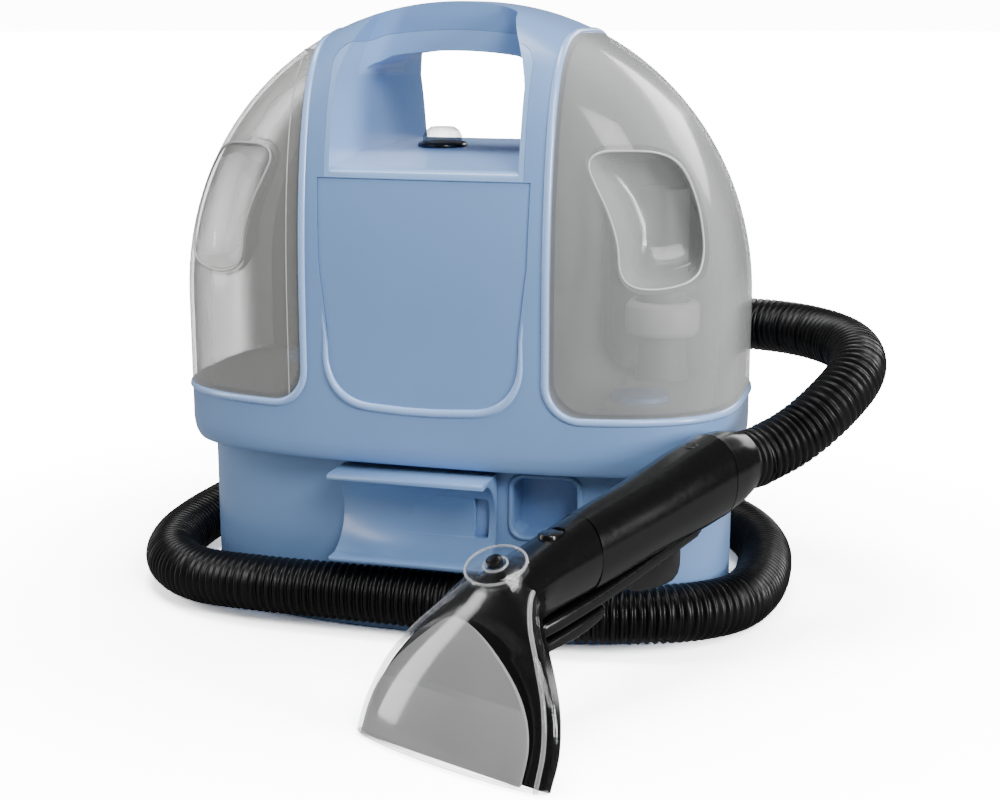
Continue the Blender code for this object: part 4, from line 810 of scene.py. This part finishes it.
# ---------------------------------------------------------------- tanks
# Two blow-moulded tanks in smoked copolyester, one for clean water and one for what is picked up.
# Each lifts straight up out of its bay by a finger grip pressed into its front, near the outer edge,
# with a raised line round it. The clean tank shows its parting line.
TANK_WALL = 0.0024
PORT_RADIUS = 0.0163
GRIP_DEPTH = 0.0255
GRIP_CENTRE = (0.121, 0.238)
grip_loop = [
    (0.109, 0.2745), (0.125, 0.2735), (0.136, 0.266), (0.144, 0.2485), (0.1482, 0.232), (0.1497, 0.218),
    (0.147, 0.206), (0.13, 0.2015), (0.1145, 0.203), (0.1085, 0.211), (0.1078, 0.226), (0.102, 0.243),
    (0.095, 0.256), (0.0893, 0.268), (0.095, 0.2742)]
for _ in range(3):
    grip_loop = [(a[0] * t + b[0] * (1 - t), a[1] * t + b[1] * (1 - t))
                 for a, b in zip(grip_loop, grip_loop[1:] + grip_loop[:1]) for t in (0.75, 0.25)]
tank_cast = {}
for word, colour, thin in (("clean", (0.36, 0.36, 0.35), 0.34), ("dirty", (0.4, 0.41, 0.405), 0.3)):
    tank_cast[word] = clear_cast(f"{word}_tank_cast", colour, thin, 0.96, 0.13, coat=0.4, bump=0.1, grain=40.0,
                                 frosted_behind=0.92)


def grip_ring(side, share, depth, grow_by=0.0):
    """One ring of the scoop: its outline drawn in to this share, pushed in by this part of the depth."""
    wide = share + grow_by / (GRIP_CENTRE[0] - COLUMN_HALF - 0.022)
    ring = []
    for x, z in grip_loop:
        at_x = GRIP_CENTRE[0] + (x - GRIP_CENTRE[0]) * wide
        at_z = GRIP_CENTRE[1] + (z - GRIP_CENTRE[1]) * wide
        face = -0.084 + 0.52 * (at_x - 0.1) + 0.15 * (at_z - 0.22)
        ring.append((side * at_x, face + depth * GRIP_DEPTH + (grow_by if depth > 0.0 else 0.0), at_z))
    return ring


def finger_grip(side, grow_by):
    """The scoop for the fingertips as one closed solid."""
    return loft("finger_grip", [grip_ring(side, share, depth, grow_by) for share, depth in (
        (1.0, -0.98), (1.0, 0.08), (0.987, 0.19), (0.97, 0.31), (0.94, 0.45), (0.9, 0.59), (0.845, 0.71),
        (0.78, 0.8), (0.7, 0.875), (0.62, 0.93), (0.51, 0.97), (0.4, 1.0))])


def tank(word, side):
    """Hollow slice of the dome that fills one bay, open at its ports."""
    shell = dome(f"{word}_tank_body", 0.0, TANK_FLOOR - 0.01)
    carve(shell, prism("tank_keep", bay(side, gap=FIT_GAP), -deep, TANK_REAR), "INTERSECT")
    room = dome("tank_room", TANK_WALL, TANK_FLOOR - 0.02)
    inside = prism("room_keep", bay(side, gap=FIT_GAP + TANK_WALL), -deep, TANK_REAR - TANK_WALL)
    carve(room, inside, "INTERSECT")
    carve(room, finger_grip(side, TANK_WALL))
    carve(shell, finger_grip(side, 0.0))
    carve(shell, room)
    for y in (CAP_Y, DRAIN_Y) if side > 0 else (CAP_Y,):
        top = TANK_FLOOR + TANK_WALL + 0.004
        carve(shell, rod("port", PORT_RADIUS, TANK_FLOOR - 0.01, top, (side * CAP_X, y, 0.0), "Z"))
    return smooth_over(shell, 32)


ridge_cast = moulded("ridge_cast", (0.46, 0.46, 0.455), 0.22, grain=60.0, coat=0.3)
for side, word, body in ((-1, "clean", "clean_tank"), (1, "dirty", "dirty_tank")):
    grip_edge = [(side * x, -dome_front(x, z, 0.0004), z) for x, z in grip_loop]
    fit(bead(f"{word}_grip_edge", grip_edge, 0.0007), body, ridge_cast, "smoke_clear")
seam = [(-0.0795, -dome_front(0.0795, z, 0.0002), z) for z in np.linspace(TANK_FLOOR + 0.004, 0.322, 60)]
fit(bead("clean_parting_line", seam, 0.0004, closed=False), "clean_tank", ridge_cast, "smoke_clear")
fit(tank("clean", -1), "clean_tank", tank_cast["clean"], "smoke_clear", "clean_tank")
fit(tank("dirty", 1), "dirty_tank", tank_cast["dirty"], "smoke_clear", "dirty_tank")

# ---------------------------------------------------------------- caps and what is inside
# Screw caps in the shell colour, a white nylon poppet valve in the clean one, the grey suction
# stack with its white shut-off float, and the dock, seal, duct, fan, motor, pump and switch.
white_nylon = moulded("white_nylon", (0.72, 0.72, 0.69), 0.45, grain=500.0, mottle=0.04)
grey_shell = moulded("grey_shell", (0.24, 0.24, 0.245), 0.5, grain=600.0, mottle=0.06)
for node, name, body, finish, slot in (
        ("clean_cap", "clean_cap_moulding", "clean_cap", blue_shell, "blue_plastic"),
        ("drain_cap", "drain_cap_moulding", "drain_cap", blue_shell, "blue_plastic"),
        ("clean_valve", "poppet_valve", "clean_valve", white_nylon, "white_nylon"),
        ("float_ring", "shut_off_float", "float_ring", white_nylon, "white_nylon"),
        ("dirty_stack", "suction_stack", "dirty_tank", grey_shell, "grey_plastic"),
        ("clean_dock", "valve_dock", "machine", foot_rubber, "dark_rubber"),
        ("suction_seal", "lip_seal", "machine", foot_rubber, "dark_rubber"),
        ("suction_duct", "down_duct", "machine", black_shell, "black_plastic"),
        ("fan_housing", "fan_scroll", "machine", grey_shell, "grey_plastic"),
        ("suction_fan", "fan_wheel", "rotor", white_nylon, "white_nylon"),
        ("motor_mount", "motor_cushion", "machine", foot_rubber, "dark_rubber"),
        ("suction_motor", "motor_can", "machine", spring_steel, "steel"),
        ("motor_shaft", "fan_shaft", "rotor", spring_steel, "steel"),
        ("pump_body", "water_pump", "machine", white_nylon, "white_nylon"),
        ("power_switch", "rocker_switch", "machine", black_shell, "black_plastic")):
    fit(refined(node, name, 0.0003), body, finish, slot, node)
board = moulded("board_lacquer", (0.03, 0.15, 0.07), 0.4, grain=300.0, mottle=0.3, coat=0.4)
for node, finish in (("control_board", board), ("button_spring", spring_steel)):
    nodes[node].data.materials.clear()
    nodes[node].data.materials.append(finish)

# ---------------------------------------------------------------- wand
# Black grip with a glued cuff for the hose. The water tube runs in a rail underneath, where the
# trigger hangs on a cross pin, and a snap cover closes the tube's front end.
up = Vector((0.0, 0.0, 1.0))
GRIP_ROWS = [(NECK_END + FIT_GAP, 0.0812, 0.0174, 0.0203), (0.123, 0.0858, 0.0181, 0.0205),
             (0.15, 0.0925, 0.0194, 0.0208), (0.178, 0.099, 0.0204, 0.0228), (0.1995, 0.1038, 0.0204, 0.0228)]
CUFF_ROWS = [(0.2, 0.1038, 0.0204, 0.0228), (0.212, 0.1058, 0.0193, 0.0207),
             (CUFF_END, CUFF_HEIGHT, 0.0176, 0.0177)]
RAIL_ROWS = [(0.068, 0.048, 0.008, 0.005), (0.085, 0.0518, 0.0092, 0.0052), (0.1055, 0.0566, 0.0096, 0.005),
             (0.134, 0.0642, 0.0096, 0.005), (0.161, 0.0722, 0.0094, 0.005), (0.188, 0.08, 0.009, 0.0044)]
COVER_ROWS = [(0.076, 0.04, 0.0078, 0.0038), (0.098, 0.0444, 0.0082, 0.0048), (0.117, 0.0498, 0.0074, 0.0036)]
TRIGGER_HALF = 0.0058


def eased(rows, steps):
    """Rows of sizes with smooth rows put in between."""
    table = np.array(rows, float)
    padded_rows = np.vstack([2 * table[0] - table[1], table, 2 * table[-1] - table[-2]])
    found = []
    for i in range(1, len(padded_rows) - 2):
        a, b, c, d = padded_rows[i - 1:i + 3]
        for t in np.linspace(0.0, 1.0, steps, endpoint=False):
            found.append(0.5 * ((2 * b) + (c - a) * t + (2 * a - 5 * b + 4 * c - d) * t * t
                                + (3 * b - a - 3 * c + d) * t**3))
    found.append(table[-1])
    return found


def sleeve_piece(name, rows, power=2.2, round_start=0.0, round_end=0.0, grow_by=0.0):
    """Lofted oval sleeve along the wand, with rounded ends if asked."""
    spots = [tuple(r) for r in eased(rows, 10)]
    first, last = spots[0], spots[-1]
    shaped = [r for r in spots if (not round_start or r[0] >= first[0] + round_start)
              and (not round_end or r[0] <= last[0] - round_end)]

    def rounding(row, size, way):
        """Rows that close in on one end, from its tip inwards."""
        for share in np.linspace(0.0, 1.0, 7)[:-1]:
            pull = (1.0 - math.sqrt(max(1.0 - (1.0 - share) ** 2, 0.0))) * size
            yield (row[0] + way * size * share, row[1], row[2] - pull, row[3] - pull)

    if round_start:
        shaped = list(rounding(first, round_start, 1)) + shaped
    if round_end:
        shaped += reversed(list(rounding(last, round_end, -1)))
    rings = []
    for s, z, width, height in shaped:
        oval = superellipse(max(width, 0.0004) + grow_by, max(height, 0.0004) + grow_by, power, 64)
        rings.append([wand_point(s, x, z + h) for x, h in oval])
    return loft(name, rings)


grip = sleeve_piece("wand_handle", GRIP_ROWS)
carve(grip, sleeve_piece("rail_groove", RAIL_ROWS, 3.0, grow_by=0.0004))
black_part(smooth_over(grip, 32), "wand_grip")
screw_spot = wand_point(0.1844, 0.0005, 0.1229)
collar = [screw_spot + (wand_across * math.cos(a) + wand_back * math.sin(a)) * 0.003
          + up * (0.0002 + 0.0005 * math.sin(a)) for a in np.linspace(0.0, 2.0 * math.pi, 33)[:-1]]
black_part(bead("screw_collar", collar, 0.0007))
cuff = sleeve_piece("hose_cuff", CUFF_ROWS)
black_part(cuff, "wand_cuff")
rail = sleeve_piece("tube_rail", RAIL_ROWS, 3.0, round_start=0.0045, round_end=0.004)


def wand_prism(name, profile, half):
    """A side profile of (along, height) points, as wide as asked."""
    return loft(name, [[wand_point(s, x, z) for s, z in profile] for x in (-half, half)])


slot_side = [(0.099, 0.03), (0.1745, 0.03), (0.1745, 0.1), (0.099, 0.1)]
carve(rail, wand_prism("trigger_slot", slot_side, TRIGGER_HALF + 0.0006))
black_part(smooth_over(rail, 32), "wand_rail")
trigger_side = [(0.1002, 0.0542), (0.1002, 0.0598), (0.106, 0.0606), (0.134, 0.067), (0.161, 0.0735),
                (0.1716, 0.0762), (0.173, 0.074), (0.1731, 0.068), (0.1727, 0.061), (0.1712, 0.057),
                (0.168, 0.0543), (0.164, 0.0533), (0.16, 0.053), (0.153, 0.0529), (0.146, 0.0532),
                (0.141, 0.054), (0.137, 0.0552), (0.133, 0.0572), (0.129, 0.0586), (0.124, 0.0584),
                (0.118, 0.057), (0.109, 0.0548)]
trigger = rounded(wand_prism("spray_trigger", trigger_side, TRIGGER_HALF), 0.001, 3, 50)
fit(smooth_over(trigger, 50), "trigger", black_shell, "black_plastic", "trigger")
fit(refined("trigger_pin", "pivot_pin", 0.0003), "machine", spring_steel, "steel", "trigger_pin")
snap_cover = sleeve_piece("tube_snap_cover", COVER_ROWS, 3.0, round_end=0.003)
black_part(snap_cover, "tube_cover")

# ---------------------------------------------------------------- hand tool
# Black back shell and neck, with a clear cover welded to its front so that the suction path shows.
# A frosted grey plate stands behind the cover, and a spray tip sits in the clear boss at the top.
MOUTH_HALF = 0.0585
WINDOW_WALL = 0.002
TOOL_ROWS = [
    (0.01, 0.0012, 1.000, 0.009, 0.008, -4.0), (0.017, 0.018, 0.985, 0.011, 0.012, -4.0),
    (0.024, 0.036, 0.89, 0.0125, 0.015, -3.5), (0.031, 0.052, 0.72, 0.0135, 0.0175, -2.5),
    (0.039, 0.0652, 0.525, 0.014, 0.0195, -1.0), (0.049, 0.0745, 0.38, 0.015, 0.022, 1.0),
    (0.067, 0.0782, 0.3, 0.0142, 0.0215, 3.5), (NECK_END, 0.0812, 0.2974, 0.0203, 0.0203, 6.0)]
COVERED_ROWS = 5
TOOL_STEPS = 10
ARC_STEPS = 24
LATCH_S = 0.082
row_forward = []
for i, row in enumerate(TOOL_ROWS):
    back_now, across_now = heading_axes(TOOL_HEADING + math.radians(row[5]))
    if i == 0:
        row_forward.append(-back_now)
    elif i == len(TOOL_ROWS) - 1:
        row_forward.append(up)
    else:
        near, far = TOOL_ROWS[i - 1], TOOL_ROWS[i + 1]
        rise = (tool_back * (far[0] - near[0]) + up * (far[1] - near[1])).normalized()
        ahead = rise.cross(across_now).normalized()
        row_forward.append(ahead if ahead.z > 0 else -ahead)
shell_front = [0.0002, 0.0002, 0.0002, 0.0002, 0.008, 0.0115, 0.0142, 0.0203]
tool_table = [(*row, *ahead, front, 1.0 if i <= COVERED_ROWS else 0.0)
              for i, (row, ahead, front) in enumerate(zip(TOOL_ROWS, row_forward, shell_front))]
tool_spots = eased(tool_table, TOOL_STEPS)


def tool_section(row):
    """Centre, direction across and direction to the front of one section of the tool."""
    centre = MOUTH + tool_back * row[0] + up * row[1]
    return centre, heading_axes(TOOL_HEADING + math.radians(row[5]))[1], Vector(row[6:9]).normalized()


def back_ring(row):
    """One section of the back shell, set in at its front where the clear cover sits on it."""
    centre, across, ahead = tool_section(row)
    half = MOUTH_HALF * row[2]
    inset = (WINDOW_WALL + 0.001) * min(max(row[10], 0.0), 1.0)
    front = max(row[9], 0.0002)
    ring = []
    for k in range(2 * ARC_STEPS):
        angle = math.pi * k / ARC_STEPS
        depth = front if 0 < k < ARC_STEPS else row[4]
        reach = half - inset if k <= ARC_STEPS else half
        ring.append(centre + across * reach * math.cos(angle) + ahead * depth * math.sin(angle))
    return ring


back_shell = loft("tool_back_shell", [back_ring(row) for row in tool_spots])
near, far = [(row[0], row[1] + row[3]) for row in TOOL_ROWS[-2:]]
latch_top = near[1] + (far[1] - near[1]) / (far[0] - near[0]) * (LATCH_S - near[0])


def tool_disc(name, levels, half_x, half_y):
    """Upright rounded block on the neck, at the latch, from (height, set-in) pairs."""
    return loft(name, [[MOUTH + tool_back * (LATCH_S + y) + tool_across * x + up * (latch_top + z)
                        for x, y in superellipse(half_x - pull, half_y - pull, 2.6, 40)]
                       for z, pull in levels])


carve(back_shell, tool_disc("latch_pocket", [(-0.0071, 0.0), (0.02, 0.0)], 0.0058, 0.0071))
fit(smooth_over(back_shell, 32), "tool", black_shell, "black_plastic", "tool_shell")
key_levels = [(-0.0046, 0.0), (0.0002, 0.0), (0.0009, 0.0004), (0.0012, 0.0012)]
latch = tool_disc("latch_key", key_levels, 0.0055, 0.0068)
fit(latch, "latch_button", black_shell, "grey_plastic", "latch_button")


def window_ring(row):
    """One section of the clear cover: out along its face and back along its inside."""
    centre, across, ahead = tool_section(row)
    half = MOUTH_HALF * row[2]
    ring = []
    for inset, order in ((0.0, range(ARC_STEPS + 1)), (WINDOW_WALL, range(ARC_STEPS, -1, -1))):
        for k in order:
            angle = math.pi * k / ARC_STEPS
            lift = 0.0006 + (row[3] - inset) * math.sin(angle)
            ring.append(centre + across * (half - inset) * math.cos(angle) + ahead * lift)
    return ring


covered = tool_spots[:COVERED_ROWS * TOOL_STEPS + 1]
window = loft("clear_cover", [window_ring(row) for row in covered])
boss_centre, boss_across, boss_ahead = tool_section(covered[-1])
boss_up = boss_ahead.cross(boss_across)


def boss_oval(lift, half_x, half_y, count=48):
    """Oval round the middle of the spray boss, this far out from the tool."""
    return [boss_centre + boss_ahead * lift + boss_across * x + boss_up * y
            for x, y in superellipse(half_x, half_y, 2.0, count)]


boss_rings = [boss_oval(lift, 0.017 - pull, 0.015 - pull)
              for lift, pull in ((0.014, 0.0), (0.0166, 0.0), (0.0174, 0.0006), (0.0178, 0.0016))]
carve(window, loft("spray_boss", boss_rings), "UNION")
cover_cast = clear_cast("cover_cast", (0.48, 0.48, 0.49), 0.015, 0.4, 0.06, coat=0.0, bump=0.012, grain=24.0,
                        mottle=0.02)
cover_cast.node_tree.nodes["Principled BSDF"].inputs["Metallic"].default_value = 1.0
fit(smooth_over(window, 32), "tool", cover_cast, "smoke_clear", "tool_window")
# Paler, more solid beads along the cover's sides, the tab, the nozzle and the mouth: painted highlights where
# light catches the clear edges.
edge_highlight_cast = clear_cast("edge_highlight_cast", (0.62, 0.62, 0.62), 0.22, 0.7, 0.06, coat=1.0, bump=0.02, grain=30.0,
                       mottle=0.02)
for word, degrees in (("left", 176), ("right", 24)):
    turn = math.radians(degrees)
    line = []
    for row in covered:
        centre, across, ahead = tool_section(row)
        line.append(centre + across * (MOUTH_HALF * row[2] - 0.0004) * math.cos(turn)
                    + ahead * (0.0006 + (row[3] - 0.0004) * math.sin(turn)))
    fit(bead(f"cover_edge_{word}", line, 0.0012, closed=False), "tool", edge_highlight_cast, "smoke_clear")
fit(bead("tab_edge", boss_oval(0.0172, 0.0163, 0.0143, 64), 0.0007), "tool", edge_highlight_cast, "smoke_clear")
fit(bead("nozzle_edge", boss_oval(0.0178, 0.0062, 0.0056, 40), 0.0006), "tool", edge_highlight_cast, "smoke_clear")
mouth_centre, mouth_across, mouth_ahead = tool_section(covered[0])
mouth_line = []
for k in range(41):
    angle = math.pi * k / 40
    mouth_line.append(mouth_centre + mouth_across * (MOUTH_HALF - 0.0012) * math.cos(angle)
                      + mouth_ahead * (0.0006 + 0.0084 * math.sin(angle)) + up * 0.0011)
fit(bead("mouth_edge", mouth_line, 0.0009, closed=False), "tool", edge_highlight_cast, "smoke_clear")

PLATE_FOOT, PLATE_RISE, PLATE_LEAN, PLATE_FORWARD = 0.0012, 0.059, -0.014, 0.006
face_rings = []
heights = [row[1] for row in covered]
for turn in np.linspace(0.0, 88.0, 60):
    z = PLATE_FOOT + PLATE_RISE * math.sin(math.radians(turn))
    row = [np.interp(z, heights, [r[k] for r in covered]) for k in range(len(covered[0]))]
    centre, across, ahead = tool_section(row)
    share = (z - PLATE_FOOT) / PLATE_RISE
    half = MOUTH_HALF * row[2]
    arch_over = math.sqrt(max(1.0 - share**3.4, 0.0))
    middle, lift = PLATE_LEAN * share**1.5, PLATE_FOOT + PLATE_FORWARD * share**2
    left = middle - (half - 0.003 + middle) * arch_over
    right = middle + (half - 0.0155 - middle) * arch_over
    face_rings.append([centre + across * x + ahead * (lift + d) for x, d in (
        (left, 0.0), (right, 0.0), (right, 0.0014), (right - 0.0006, 0.0018), (left + 0.0006, 0.0018),
        (left, 0.0014))])
face_frost = moulded("face_frost", (0.4, 0.4, 0.405), 0.42, grain=350.0, bump=0.15, mottle=0.05)
fit(loft("frosted_plate", face_rings), "tool", face_frost, "grey_plastic", "tool_face")
fit(refined("spray_tip", "spray_nozzle", 0.0003), "tool", black_shell, "black_plastic", "spray_tip")

# ---------------------------------------------------------------- studio
# Pale floor that fades to white further out, and five soft lights: a key light, one at the front
# right, one overhead, one at the left and one behind.
floor_mesh = bmesh.new()
bmesh.ops.create_circle(floor_mesh, cap_ends=True, segments=96, radius=30.0)
floor = as_piece("studio_floor", floor_mesh)
floor_paint = bpy.data.materials.new("floor_paint")
floor_paint.use_nodes = True
paint = floor_paint.node_tree
paint.nodes.remove(paint.nodes["Principled BSDF"])
matt = add(paint, "ShaderNodeBsdfDiffuse", {"Color": (0.3, 0.3, 0.3, 1.0)})["BSDF"]
seen = add(paint, "ShaderNodeBsdfDiffuse", {"Color": (5.6, 5.6, 5.6, 1.0)})["BSDF"]
glow = add(paint, "ShaderNodeEmission", {"Strength": 16.0})["Emission"]
spot = add(paint, "ShaderNodeTexCoord")["Object"]
out_by = add(paint, "ShaderNodeVectorMath", {0: spot}, operation="LENGTH")["Value"]
fade = add(paint, "ShaderNodeMapRange", {"Value": out_by, "From Min": 0.16, "From Max": 0.48},
           interpolation_type="SMOOTHSTEP")["Result"]
far_white = add(paint, "ShaderNodeMixShader", {"Fac": fade, 1: seen, 2: glow})["Shader"]
first_look = add(paint, "ShaderNodeLightPath")["Is Camera Ray"]
by_ray = add(paint, "ShaderNodeMixShader", {"Fac": first_look, 1: matt, 2: far_white})["Shader"]
join(paint, paint.nodes["Material Output"], {"Surface": by_ray})
floor.data.materials.append(floor_paint)
floor.location.z = -0.0002
scene.world = bpy.data.worlds.new("studio_air")
scene.world.use_nodes = True
air = scene.world.node_tree
join(air, air.nodes["Background"], {"Color": (1.0, 1.0, 1.0, 1.0), "Strength": 0.16})
dim = air.nodes["Background"].outputs["Background"]
bright = add(air, "ShaderNodeBackground", {"Strength": 16.0})["Background"]
first_look = add(air, "ShaderNodeLightPath")["Is Camera Ray"]
by_ray = add(air, "ShaderNodeMixShader", {"Fac": first_look, 1: dim, 2: bright})["Shader"]
join(air, air.nodes["World Output"], {"Surface": by_ray})


def softbox(name, place, aimed_at, size, watts):
    """Rectangular lamp at a place, turned to light a point."""
    data = bpy.data.lights.new(name, "AREA")
    data.shape = "RECTANGLE"
    data.size, data.size_y = size
    data.energy = watts
    aim(placed(name, data), place, Vector(aimed_at) - Vector(place))


softbox("key", (0.9, -1.00, 1.1), (0.0, 0.0, 0.18), (0.6, 0.6), 19.0)
softbox("front_right", (1.45, -0.6, 0.5), (0.0, 0.0, 0.26), (0.35, 0.45), 25.0)
softbox("overhead", (-0.1, -0.1, 1.5), (0.0, 0.0, 0.15), (0.8, 0.6), 20.0)
softbox("left_side", (-1.3, -0.5, 0.6), (0.0, 0.0, 0.18), (0.35, 1.2), 10.0)
softbox("back_rim", (0.8, 1.4, 0.9), (0.0, 0.0, 0.25), (1.2, 0.6), 14.0)
